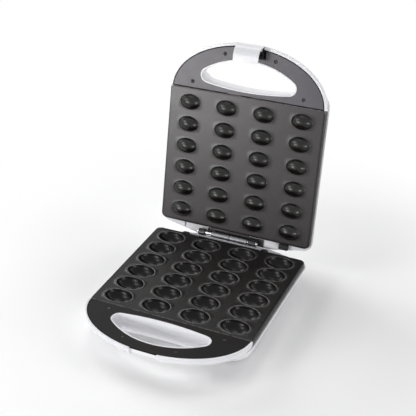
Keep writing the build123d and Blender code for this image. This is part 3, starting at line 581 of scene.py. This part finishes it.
# Growth and height in millimetres: up, over the lip, down into the hole and back up behind
WALL_PROFILE = [
    (0.06, -2.8),
    *round_stretch((-0.19, -0.35), (0.25, 0.25), 0, 90),
    *round_stretch((-1.12, -0.9), (0.8, 0.8), 90, 180),
    (-1.92, -6.0),
    (-1.85, -15.0),
    (-1.7, -15.4),
    (-1.0, -15.4),
    (-0.9, -2.8),
    (0.06, -2.8),
]


def hole_wall(half, place):
    """The white wall of a finger hole: a ring of its outline at each growth and height of the profile."""
    rings = []
    for grow, z in WALL_PROFILE:
        rings.append(np.column_stack([hole_outline(half, grow * MM), np.full(HOLE_POINTS, z * MM)]))
    points = place(np.concatenate(rings))
    return mesh_piece(half + "_finger_hole_wall", points, grid_faces(len(rings), HOLE_POINTS))


base_wall = hole_wall("base", in_base)
lid_wall = hole_wall("lid", in_lid)
print("finger hole walls", len(base_wall.data.polygons), "faces each")

# %% [markdown]
# The white lip round each dark cover is the edge of the housing, and the cover's own edge is rolled over.
# The rolled edge is painted a darker tone as shade, which draws a thin dark line inside the white one.
# Both follow half ellipses. A bevelled curve could draw them, but gives no marks, so both are strips:
# a closed profile carried along the ellipse, once on the right and once on the left of the latch.

# %% Strips along a handle ring
HANDLE_BACK = -219.5 * MM
LATCH_HALF = 21.3 * MM
STRIP_STEPS = 90


def half_ellipse_strip(outer_axes, inner_axes, profile, back_y):
    """Both strips of a ring: x = a cos t, y = back - b sin t, from the cover's back edge to beside the latch.

    A profile point is a share of the way from the outer ellipse to the inner, a growth and a height."""
    share, grow, z = (np.array(column)[None, :] for column in zip(*profile))
    a = outer_axes[0] + (inner_axes[0] - outer_axes[0]) * share + grow * MM
    b = outer_axes[1] + (inner_axes[1] - outer_axes[1]) * share + grow * MM
    start = math.asin((HANDLE_BACK - back_y) / outer_axes[1])
    stop = math.acos(LATCH_HALF / outer_axes[0])
    t = np.linspace(start, stop, STRIP_STEPS)[:, None]
    grids = []
    for side in (1, -1):
        rows = np.stack([side * a * np.cos(t), HANDLE_BACK - b * np.sin(t), z * MM + 0 * t], axis=-1)
        middles = rows[[0, -1]].mean(axis=1, keepdims=True)
        ends = middles + POINT_SHARE * (rows[[0, -1]] - middles)
        points = np.concatenate([ends[:1], rows, ends[1:]]).reshape(-1, 3)
        # Every point is marked as edge; on a cover's rolled edge that mark paints shade.
        marks = ring_marks([(0, 1)], len(points))
        grids.append((points, grid_faces(STRIP_STEPS + 2, len(profile)), marks))
    return join_grids(grids)


print("points along each strip:", STRIP_STEPS)

# %% White lips of the rings
RING_AXES = np.array([129.0, 83.5]) * MM
COVER_AXES = {"base": np.array([126.0, 80.8]) * MM, "lid": np.array([124.6, 78.8]) * MM}
SEAT_GAP = 0.25 * MM
LIP_BACK = -221.4 * MM
# Share, growth and height: up the outer side, over a rounded top, and down to the cover's seat
LIP_PROFILE = [
    (0, 0.05, -2.8),
    *((0, *point) for point in round_stretch((-0.45, -0.65), (0.5, 0.5), 0, 90)),
    *((1, *point) for point in round_stretch((0.34, -0.55), (0.4, 0.4), 90, 180)),
    (1, -0.06, -2.8),
]


def ring_lip(half, place):
    """The white lip of a ring: the lip's profile carried along the housing's and the cover's ellipses."""
    points, faces, _ = half_ellipse_strip(RING_AXES, COVER_AXES[half] + SEAT_GAP, LIP_PROFILE, LIP_BACK)
    return mesh_piece(half + "_ring_lip", place(points), faces)


base_lip = ring_lip("base", in_base)
lid_lip = ring_lip("lid", in_lid)
print("ring lips", len(base_lip.data.polygons), "faces each")

# %% [markdown]
# The rolled edge is a low bead that starts on the cover's face and turns down into the gap.
# Its darker tone is painted shade.
# The lid cover's straight back edge is rolled too: three rounded blocks, parted by its two notches.

# %% Rolled edges of the covers
COVER_BACK = {"base": -221.4 * MM, "lid": -222.0 * MM}
BACK_STRETCHES = {"base": [], "lid": [(-123.6, -32.0), (-11.0, 8.0), (24.0, 123.6)]}
# Share, growth and height of the bead
BEAD_PROFILE = [
    (0, -1.5, -0.9),
    (0, -1.5, -0.47),
    (0, -1.2, -0.40),
    *((0, *point) for point in round_stretch((-0.4, -0.8), (0.42, 0.40), 90, 0)),
    (0, 0.02, -2.6),
    (0, -0.3, -2.6),
]
BACK_BEAD_R = (0.2 * MM, 0.1 * MM)
BEAD_IN, BEAD_OUT = 0.9, 0.03
BEAD_LOW, BEAD_TOP = -1.6, -0.41


def rolled_edge(half, place):
    """The cover's rolled edge: the bead carried along the cover's ellipse, and blocks along its back."""
    axes = COVER_AXES[half]
    grids = [half_ellipse_strip(axes, axes, BEAD_PROFILE, COVER_BACK[half])]
    back = COVER_BACK[half] / MM
    for x0, x1 in BACK_STRETCHES[half]:
        low, high = (x0, back - BEAD_IN, BEAD_LOW), (x1, back + BEAD_OUT, BEAD_TOP)
        points, faces, _ = rounded_block(low, high, *BACK_BEAD_R)
        # Marked as edge all over, so the back bead gets the painted shade too.
        grids.append((points, faces, ring_marks([(0, 1)], len(points))))
    points, faces, marks = join_grids(grids)
    return mesh_piece(half + "_cover_rolled_edge", place(points), faces, marks)


base_bead = rolled_edge("base", in_base)
lid_bead = rolled_edge("lid", in_lid)
print("rolled edges", len(base_bead.data.polygons), "and", len(lid_bead.data.polygons), "faces")

# %% [markdown]
# Each finished piece stands in for a solid or is added to a moving body, and each has a finish slot.
# The frame's record says which body and slot a solid has. The table says how many millimetres
# a piece's sharp edges are rounded: most on thick plastic, not at all on round solids.

# %% Pieces, their bodies and their slots
BODY_OF = {node: body for body, nodes in frame["record"]["behaviour"]["bodies"].items() for node in nodes}
SLOT_OF = {part["node"]: part["material_slot"] for part in frame["record"]["subparts"]}
EDGE_ROUNDING = {
    "base_housing": 0.45,
    "lid_housing": 0.45,
    "base_handle_cover": 0.35,
    "lid_handle_cover": 0.35,
    "latch": 0.5,
    "latch_bracket": 0.3,
    "base_hinge_bracket": 0.5,
    "lid_hinge_leaf": 0.3,
    "wire_guide": 0,
    "hinge_pin": 0.2,
    "pin_clips": 0.15,
    "rubber_feet": 0,
    "cord_gland": 0.3,
    "base_cover_screws": 0,
    "lid_cover_screws": 0,
    "lower_heating_element": 0,
    "upper_heating_element": 0,
}
skins = {"lower_plate": lower_skin, "upper_plate": upper_skin}
for node, width in EDGE_ROUNDING.items():
    skins[node] = finished(node, width * MM)
for node, piece in skins.items():
    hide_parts(node)
added = {}
for piece, body, slot in (
    (lower_lugs, "base", "lower_coating"),
    (upper_lugs, "lid", "upper_coating"),
    (base_wall, "base", "white_shell"),
    (lid_wall, "lid", "white_shell"),
    (base_lip, "base", "white_shell"),
    (lid_lip, "lid", "white_shell"),
    (base_bead, "base", "base_cover"),
    (lid_bead, "lid", "lid_cover"),
):
    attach(piece, body)
    added[piece] = slot
print(len(skins), "solids shown by finished pieces and", len(added), "pieces added")

# %% [markdown]
# Finishes are node materials. Their maths could be wired node by node, but reads best as plain sums,
# so one small class wraps a socket and gives it the usual operators, also with the number first.

# %% Shader sums


class Value:
    """A number that varies over a surface: a socket that can be added, subtracted and multiplied."""

    def __init__(self, finish, socket):
        self.finish = finish
        self.socket = socket

    def maths(self, operation, *values):
        return self.finish.node("ShaderNodeMath", {"operation": operation}, dict(enumerate(values)))

    def __add__(self, other):
        return self.maths("ADD", self, other)

    def __sub__(self, other):
        return self.maths("SUBTRACT", self, other)

    def __rsub__(self, other):
        return self.maths("SUBTRACT", other, self)

    def __mul__(self, other):
        return self.maths("MULTIPLY", self, other)

    def above(self, low, high):
        """0 below low, 1 above high, with a soft step between them."""
        sockets = {"Value": self, "From Min": low, "From Max": high}
        return self.finish.node("ShaderNodeMapRange", {"interpolation_type": "SMOOTHSTEP"}, sockets)

    __radd__ = __add__
    __rmul__ = __mul__


print("sockets can be summed")

# %% [markdown]
# Every other node comes from one method: it takes the node's type, its settings and what feeds its sockets.
# Patterns are placed by object coordinates in metres, so a grain has its real size everywhere.

# %% A finish and its nodes
finishes = {}


class Finish:
    """A new material, and the one method that adds nodes to it."""

    def __init__(self, name):
        self.name = name
        self.material = bpy.data.materials.new(name)
        self.material.use_nodes = True
        self.tree = self.material.node_tree
        self.shader = self.tree.nodes["Principled BSDF"]
        self.place = self.node("ShaderNodeTexCoord", {}, {}, "Object")

    def node(self, kind, settings, sockets, output=0):
        """Adds a node, sets its settings first, then feeds its sockets with numbers or other nodes."""
        made = self.tree.nodes.new(kind)
        for key, value in settings.items():
            setattr(made, key, value)
        for key, value in sockets.items():
            self.feed(made.inputs[key], value)
        return Value(self, made.outputs[output])

    def feed(self, socket, value):
        """Links a node's output to a socket, or sets the socket's number or colour."""
        if isinstance(value, Value):
            self.tree.links.new(value.socket, socket)
        elif isinstance(value, tuple) and len(value) == 3 and len(socket.default_value) == 4:
            socket.default_value = (*value, 1)
        else:
            socket.default_value = value

    def noise(self, scale, detail=2.0, roughness=0.5, stretch=(1, 1, 1)):
        """Smooth noise, scale cells to the metre. A stretch draws it out along an axis."""
        where = self.node("ShaderNodeMapping", {}, {"Vector": self.place, "Scale": stretch})
        sockets = {"Vector": where, "Scale": scale, "Detail": detail, "Roughness": roughness}
        return self.node("ShaderNodeTexNoise", {}, sockets, "Fac")

    def mark(self, name):
        """A mark that a piece's mesh carries at each point, from 0 to 1."""
        return self.node("ShaderNodeAttribute", {"attribute_name": name}, {}, "Fac")

    def mix(self, share, first, second):
        """The first colour where share is 0, the second where it is 1."""
        # A mix node has a set of sockets for each kind of data: 6, 7 and output 2 are the colours.
        sockets = {0: share, 6: first, 7: second}
        return self.node("ShaderNodeMix", {"data_type": "RGBA"}, sockets, 2)

    def blend(self, share, first, second):
        """The first number where share is 0, the second where it is 1."""
        return share * (second - first) + first

    def vectors(self, operation, *values):
        """A vector sum, such as the difference of two places."""
        return self.node("ShaderNodeVectorMath", {"operation": operation}, dict(enumerate(values)))

    def length(self, vector):
        """How long a vector is."""
        return self.node("ShaderNodeVectorMath", {"operation": "LENGTH"}, {0: vector}, "Value")

    def relief(self, height, distance, strength=1.0, under=None):
        """A bump from a height, as deep as distance. Another relief can lie under it."""
        sockets = {"Height": height, "Distance": distance, "Strength": strength}
        if under is not None:
            sockets["Normal"] = under
        return self.node("ShaderNodeBump", {}, sockets)

    def surface(self, **sockets):
        """Feeds the surface shader, and lists the finished material under its name."""
        for key, value in sockets.items():
            self.feed(self.shader.inputs[key.replace("_", " ")], value)
        finishes[self.name] = self.material


print("finishes so far:", len(finishes))

# %% [markdown]
# The housings, covers and latch are injection-moulded plastic. A single flat colour would look drawn:
# real moulded plastic has faint clouds, handling leaves its gloss uneven, and a fine grain breaks it up.
# All three are noise of different sizes, which needs no picture and stays sharp from close to.

# %% Moulded plastic
WAVE_DEPTH = 0.03 * MM
ROLLED_ROUGHNESS = 0.85


def moulded(name, light, dark, gloss, grain=0.012 * MM, shine=0.5, painted_edge_shade=None):
    """Moulded plastic: clouded colour, uneven gloss and a fine grain. Shine sets how strongly it mirrors.

    A rolled edge, where a mesh marks one, is rough and can be painted a darker tone as shade."""
    finish = Finish(name)
    clouds = finish.noise(18, detail=4)
    handling = finish.noise(55, detail=5, roughness=0.6)
    fine = finish.noise(2600, detail=2)
    colour = finish.mix(clouds.above(0.35, 0.7), dark, light)
    roughness = gloss + (handling - 0.5) * 0.10 + (fine - 0.5) * 0.05
    if painted_edge_shade is not None:
        # The rolled edge's darker tone is painted shade.
        edge = finish.mark("edge")
        colour = finish.mix(edge, colour, painted_edge_shade)
        roughness = finish.blend(edge, roughness, ROLLED_ROUGHNESS)
    waves = finish.relief(finish.noise(70, detail=1), WAVE_DEPTH, 0.5)
    normal = finish.relief(fine, grain, 0.6, under=waves)
    finish.surface(Base_Color=colour, Roughness=roughness, Normal=normal, Specular_IOR_Level=shine)


moulded("white_shell", (0.76, 0.76, 0.785), (0.73, 0.73, 0.76), 0.30)
print("white plastic made")

# %% [markdown]
# The rings' covers are satin plastic, near black and brownish on the base, dark violet grey on the lid.
# Their rolled edges catch little light, so that shade is painted on them as a darker tone. The latch's pocket and
# the wire guide are black plastic, and the terminal block inside the base is a pale heat-resistant moulding.

# %% Covers and small mouldings
BASE_EDGE_SHADE = (0.003, 0.003, 0.003)
LID_EDGE_SHADE = (0.004, 0.004, 0.004)
moulded("base_cover", (0.008, 0.007, 0.0065), (0.006, 0.005, 0.005), 0.42, 0.03 * MM, 0.10, BASE_EDGE_SHADE)
moulded("lid_cover", (0.078, 0.072, 0.084), (0.066, 0.060, 0.071), 0.38, 0.02 * MM, 0.45, LID_EDGE_SHADE)
moulded("black_plastic", (0.014, 0.014, 0.015), (0.009, 0.009, 0.010), 0.45, shine=0.3)
moulded("block_plastic", (0.74, 0.68, 0.55), (0.68, 0.62, 0.49), 0.5)
print("covers and small mouldings made")

# %% [markdown]
# The plates are cast aluminium under a sprayed non-stick coating.
# The coating is dark, with a fine orange-peel relief, tiny paler flecks and a soft sheen.
# It is smoothest on the nut forms, which are polished before coating, and thinnest on edges,
# where use rubs it paler; that paleness is also a painted highlight on rims and the front edge.
# The forms and the skirts' sides are painted darker as shade, most of all the upper plate's domes.
# The meshes' marks tell the finish where these places are.

# %% Non-stick coating
PEEL_DEPTH = 0.02 * MM
PATCH_SHADE = 0.84
FLECK_SHARE = 0.35
WEAR_AND_HIGHLIGHT_SHARE = 0.8


def coating(name, tone, form_tone, wear_and_highlight_tone, gloss, form_gloss, shine):
    """Sprayed non-stick coating: flecks, orange peel, patchy sheen, smoother forms painted darker as shade, and
    edges paler as wear and painted highlight.
    """
    finish = Finish(name)
    flecks = finish.noise(3200, detail=1).above(0.62, 0.74)
    patches = finish.noise(26, detail=4)
    peel = finish.noise(900, detail=2)
    rubbed = finish.noise(160, detail=5, roughness=0.65).above(0.25, 0.7)
    # The form mark paints shade, darkest on the upper plate's domes, and the edge mark paints wear with a painted
    # highlight.
    form = finish.mark("form")
    wear_and_highlight = finish.mark("edge") * rubbed
    darker = tuple(PATCH_SHADE * part for part in tone)
    face = finish.mix(patches.above(0.3, 0.75), darker, tone)
    flecked = finish.mix(flecks * FLECK_SHARE * (1 - form), face, wear_and_highlight_tone)
    colour = finish.mix(wear_and_highlight * WEAR_AND_HIGHLIGHT_SHARE, finish.mix(form, flecked, form_tone), wear_and_highlight_tone)
    roughness = finish.blend(form, gloss, form_gloss) + (patches - 0.5) * 0.10 + flecks * 0.06
    normal = finish.relief(peel, PEEL_DEPTH, 0.5)
    finish.surface(Base_Color=colour, Roughness=roughness, Normal=normal, Specular_IOR_Level=shine)


# Form tones are darker as painted shade; rubbed tones are paler as wear and painted highlight.
BROWN_BLACK, CAVITY_BLACK, RUBBED_AND_HIGHLIGHT_BROWN = (0.009, 0.008, 0.0075), (0.007, 0.006, 0.006), (0.26, 0.25, 0.25)
DARK_GREY, DOME_SHADE_BLACK, RUBBED_AND_HIGHLIGHT_GREY = (0.034, 0.028, 0.031), (0.003, 0.0025, 0.002), (0.34, 0.33, 0.34)
coating("lower_coating", BROWN_BLACK, CAVITY_BLACK, RUBBED_AND_HIGHLIGHT_BROWN, gloss=0.40, form_gloss=0.26, shine=0.16)
coating("upper_coating", DARK_GREY, DOME_SHADE_BLACK, RUBBED_AND_HIGHLIGHT_GREY, gloss=0.32, form_gloss=0.29, shine=0.38)
print("coatings made")

# %% [markdown]
# Bare metals differ by how they were finished: drawn rod and sheet show fine lines along one direction,
# plating is smoother, and a heater's sheath is tinted by heat. One function serves all:
# noise stretched along an axis gives the lines, and plain noise gives stains and uneven gloss.

# %% Metals
LINE_DEPTH = 0.01 * MM
ALONG_X = (0.03, 1, 1)


def metal(name, light, dark, gloss, stretch=(1, 1, 1)):
    """A bare or plated metal with fine lines, faint stains and uneven gloss."""
    finish = Finish(name)
    drawn = finish.noise(1200, detail=3, stretch=stretch)
    stains = finish.noise(60, detail=5, roughness=0.65)
    colour = finish.mix(stains.above(0.35, 0.7), dark, light)
    roughness = gloss + (stains - 0.5) * 0.16 + (drawn - 0.5) * 0.08
    normal = finish.relief(drawn, LINE_DEPTH, 0.5)
    finish.surface(Base_Color=colour, Roughness=roughness, Normal=normal, Metallic=1.0)


metal("heater_steel", (0.34, 0.30, 0.26), (0.18, 0.15, 0.14), 0.45)
metal("zinc_steel", (0.62, 0.62, 0.63), (0.50, 0.50, 0.51), 0.34, ALONG_X)
metal("dark_steel", (0.06, 0.06, 0.065), (0.035, 0.035, 0.04), 0.35)
metal("reflector", (0.80, 0.81, 0.83), (0.70, 0.71, 0.74), 0.22, ALONG_X)
metal("pin_steel", (0.62, 0.62, 0.62), (0.50, 0.50, 0.50), 0.28, ALONG_X)
metal("thermostat_body", (0.48, 0.45, 0.40), (0.36, 0.34, 0.31), 0.38)
print("metals made")

# %% [markdown]
# The hinge leaf is black beyond its barrels, which turn in the ears and are satin steel.
# Two materials on one mesh would meet in a ragged line along its triangles. So the finish finds the line:
# the black starts where the distance from the hinge's axis passes the barrel's radius.

# %% Hinge leaf: steel barrels on a black strip
BARREL_R = 5.0 * MM
PAST_BARREL_STEP = 0.3 * MM
STAIN_SHADE = 0.8


def hinge_leaf(name, steel, beyond_tone):
    """Satin steel within the barrel's radius of the hinge's axis, and black beyond."""
    finish = Finish(name)
    from_hinge = finish.vectors("SUBTRACT", finish.place, tuple(HINGE))
    across = finish.vectors("MULTIPLY", from_hinge, (0, 1, 1))
    past_barrel = finish.length(across).above(BARREL_R, BARREL_R + PAST_BARREL_STEP)
    drawn = finish.noise(1200, detail=3, stretch=ALONG_X)
    stains = finish.noise(90, detail=5, roughness=0.65)
    bare = finish.mix(stains.above(0.35, 0.7), tuple(STAIN_SHADE * part for part in steel), steel)
    colour = finish.mix(past_barrel, bare, beyond_tone)
    roughness = finish.blend(past_barrel, 0.42, 0.5) + (stains - 0.5) * 0.14
    normal = finish.relief(drawn, LINE_DEPTH, 0.5)
    finish.surface(Base_Color=colour, Roughness=roughness, Metallic=1 - past_barrel, Normal=normal)


hinge_leaf("barrel_grey", (0.22, 0.22, 0.23), (0.012, 0.012, 0.013))
print("hinge leaf finish made")

# %% [markdown]
# Rubber is matt with a dusty bloom, which is noise that lifts both colour and roughness.
# Stove paint is a thin glossy film with a slight texture, so the moulded plastic's function makes it too.
# The braided sleeving's weave is two crossed sets of waves.

# %% Rubber, paint and sleeving
WEAVE_SCALE = 700.0
WEAVE_TURN = (0.6, 0.5, 0.8)


def rubber(name, light, dark, gloss):
    """Matt rubber with a dusty bloom."""
    finish = Finish(name)
    dust = finish.noise(140, detail=5, roughness=0.6).above(0.4, 0.75)
    normal = finish.relief(finish.noise(1800, detail=2), 0.03 * MM, 0.6)
    finish.surface(Base_Color=finish.mix(dust, dark, light), Roughness=gloss + dust * 0.12, Normal=normal)


def sleeve(name, light, dark):
    """Braided sleeving: two crossed sets of fine waves, multiplied together."""
    finish = Finish(name)
    turned = finish.node("ShaderNodeMapping", {}, {"Vector": finish.place, "Rotation": WEAVE_TURN})
    over = finish.node("ShaderNodeTexWave", {}, {"Vector": finish.place, "Scale": WEAVE_SCALE}, "Fac")
    under = finish.node("ShaderNodeTexWave", {}, {"Vector": turned, "Scale": WEAVE_SCALE}, "Fac")
    weave = over * under
    normal = finish.relief(weave, 0.05 * MM, 0.6)
    finish.surface(Base_Color=finish.mix(weave, dark, light), Roughness=0.7, Normal=normal)


rubber("black_rubber", (0.05, 0.05, 0.05), (0.022, 0.022, 0.022), 0.62)
rubber("wire_sleeve", (0.78, 0.76, 0.72), (0.66, 0.64, 0.60), 0.5)
moulded("black_steel", (0.020, 0.020, 0.021), (0.014, 0.014, 0.015), 0.28, grain=0.04 * MM)
sleeve("fuse_sleeve", (0.85, 0.82, 0.75), (0.6, 0.57, 0.5))
print("soft finishes made")

# %% [markdown]
# Each solid gets the finish of its slot, and so does the finished piece that is shown in its place.
# That piece rides on the solid's body, so lid and latch keep their looks when they swing.

# %% Every piece gets its finish and rides on its body
for node, solid in frame["nodes"].items():
    material = finishes[SLOT_OF[node]]
    solid.data.materials.clear()
    solid.data.materials.append(material)
    if node in skins:
        skins[node].data.materials.append(material)
        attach(skins[node], BODY_OF[node])
for piece, slot in added.items():
    piece.data.materials.append(finishes[slot])
print(len(frame["nodes"]), "nodes finished in", len(finishes), "materials")

# %% [markdown]
# The picture is a plain studio view on white. The camera stands to the right of the handle, above the cooker,
# and looks down at it through a long lens, so that the plates' sides run nearly parallel.
# An aim point is easier to read than three angles.

# %% Camera
CAMERA_PLACE = Vector((0.5110, -1.1044, 0.8710))
CAMERA_AIM = Vector((-0.0252, 0.0751, 0.1151))
CAMERA_ROLL = math.radians(-0.32)
LENS = 83.99
SENSOR = 36
camera_data = bpy.data.cameras.new("camera")
camera_data.lens = LENS
camera_data.sensor_width = SENSOR
camera = bpy.data.objects.new("camera", camera_data)
bpy.context.collection.objects.link(camera)
look = (CAMERA_AIM - CAMERA_PLACE).to_track_quat("-Z", "Y").to_matrix()
turned = look @ Matrix.Rotation(CAMERA_ROLL, 3, "Z")
camera.matrix_world = Matrix.Translation(CAMERA_PLACE) @ turned.to_4x4()
bpy.context.scene.camera = camera
print("camera", [round(v, 3) for v in CAMERA_PLACE], "lens", LENS)

# %% [markdown]
# The floor is a large pale sheet that takes the cooker's soft shadows. In the picture it is white a short
# way off. A second, brighter sheet would light the cooker as well, so this one turns to plain white
# with distance, for the camera, mirrors and clear pieces alone.

# %% Floor
FLOOR_HALF = 6.0
FLOOR_TONE = (0.93, 0.93, 0.93)
WHITE = (1, 1, 1)
SHADOW_REACH = (0.30, 0.58)
LOOKING_RAYS = ("Is Camera Ray", "Is Glossy Ray", "Is Transmission Ray")
corners = np.array([[-1, -1, 0], [1, -1, 0], [1, 1, 0], [-1, 1, 0]]) * FLOOR_HALF
floor = mesh_piece("floor", corners, np.array([[0, 1, 2, 3]]))


def seen_directly(finish):
    """1 for the rays that show a backdrop: from the camera, from a mirror or through clear pieces."""
    first, *others = [finish.node("ShaderNodeLightPath", {}, {}, ray) for ray in LOOKING_RAYS]
    for ray in others:
        first = first.maths("MAXIMUM", first, ray)
    return first


sheet = Finish("floor_white")
far_off = sheet.length(sheet.place).above(*SHADOW_REACH)
glow = sheet.node("ShaderNodeEmission", {}, {"Color": WHITE})
matt = sheet.node("ShaderNodeBsdfDiffuse", {}, {"Color": FLOOR_TONE})
both = sheet.node("ShaderNodeMixShader", {}, {0: far_off * seen_directly(sheet), 1: matt, 2: glow})
sheet.feed(sheet.tree.nodes["Material Output"].inputs["Surface"], both)
floor.data.materials.append(sheet.material)
print("floor of", 2 * FLOOR_HALF, "metres")

# %% [markdown]
# The surround is an even pale light from all sides, as white studio walls give. The rays that look at it
# see plain white, so the background is white and the surround still a weak lamp.

# %% World
SURROUND = 0.18
world = bpy.data.worlds.new("surround")
bpy.context.scene.world = world
world.use_nodes = True


class Surround(Finish):
    """The world's nodes, with a finish's methods."""

    def __init__(self):
        self.tree = world.node_tree


around = Surround()
background = world.node_tree.nodes["Background"]
around.feed(background.inputs["Color"], WHITE)
around.feed(background.inputs["Strength"], seen_directly(around) * (1 - SURROUND) + SURROUND)
print("surround", SURROUND)

# %% [markdown]
# The lamps are a ring of soft ones, most of them three metres off. The strongest stands low behind
# on the left and draws the soft shadow to the right of the cooker.
# Two low ones in front light upright faces but hardly the floor, and the near one of them
# puts a sheen on the upper left of the open lid that fades towards the hinge.
# Each is placed by its turn and height about the cooker's middle.

# %% Lamps
MIDDLE = Vector((0.0, 0.05, 0.1))
# Name, turn and height in degrees, distance and side lengths in metres, power in watts
LAMPS = [
    ("top", 180, 82, 3.0, (1.3, 1.3), 4),
    ("high_behind", 120, 60, 3.0, (1.3, 1.3), 20),
    ("right_behind", 60, 42, 3.0, (1.3, 1.3), 18),
    ("right", 15, 28, 3.0, (1.3, 1.3), 13),
    ("left_behind", 155, 22, 3.0, (1.3, 1.3), 40),
    ("left_front", 218, 32, 2.2, (0.9, 0.5), 11),
    ("right_front_low", 318, 5, 3.0, (1.3, 0.5), 30),
    ("front_low", 238, 8, 1.5, (0.5, 0.3), 8.5),
]


def soft_lamp(name, turn, height, away, size, power):
    """A soft lamp that faces the cooker's middle, away from it along (cos h cos t, cos h sin t, sin h)."""
    turn, height = math.radians(turn), math.radians(height)
    way = Vector((math.cos(height) * math.cos(turn), math.cos(height) * math.sin(turn), math.sin(height)))
    data = bpy.data.lights.new(name, "AREA")
    data.shape = "RECTANGLE"
    data.size, data.size_y = size
    data.energy = power
    lamp = bpy.data.objects.new(name, data)
    bpy.context.collection.objects.link(lamp)
    facing = (-away * way).to_track_quat("-Z", "Y").to_matrix().to_4x4()
    lamp.matrix_world = Matrix.Translation(MIDDLE + away * way) @ facing


for row in LAMPS:
    soft_lamp(*row)
bpy.context.scene.view_settings.view_transform = "Standard"
print(len(LAMPS), "lamps made")
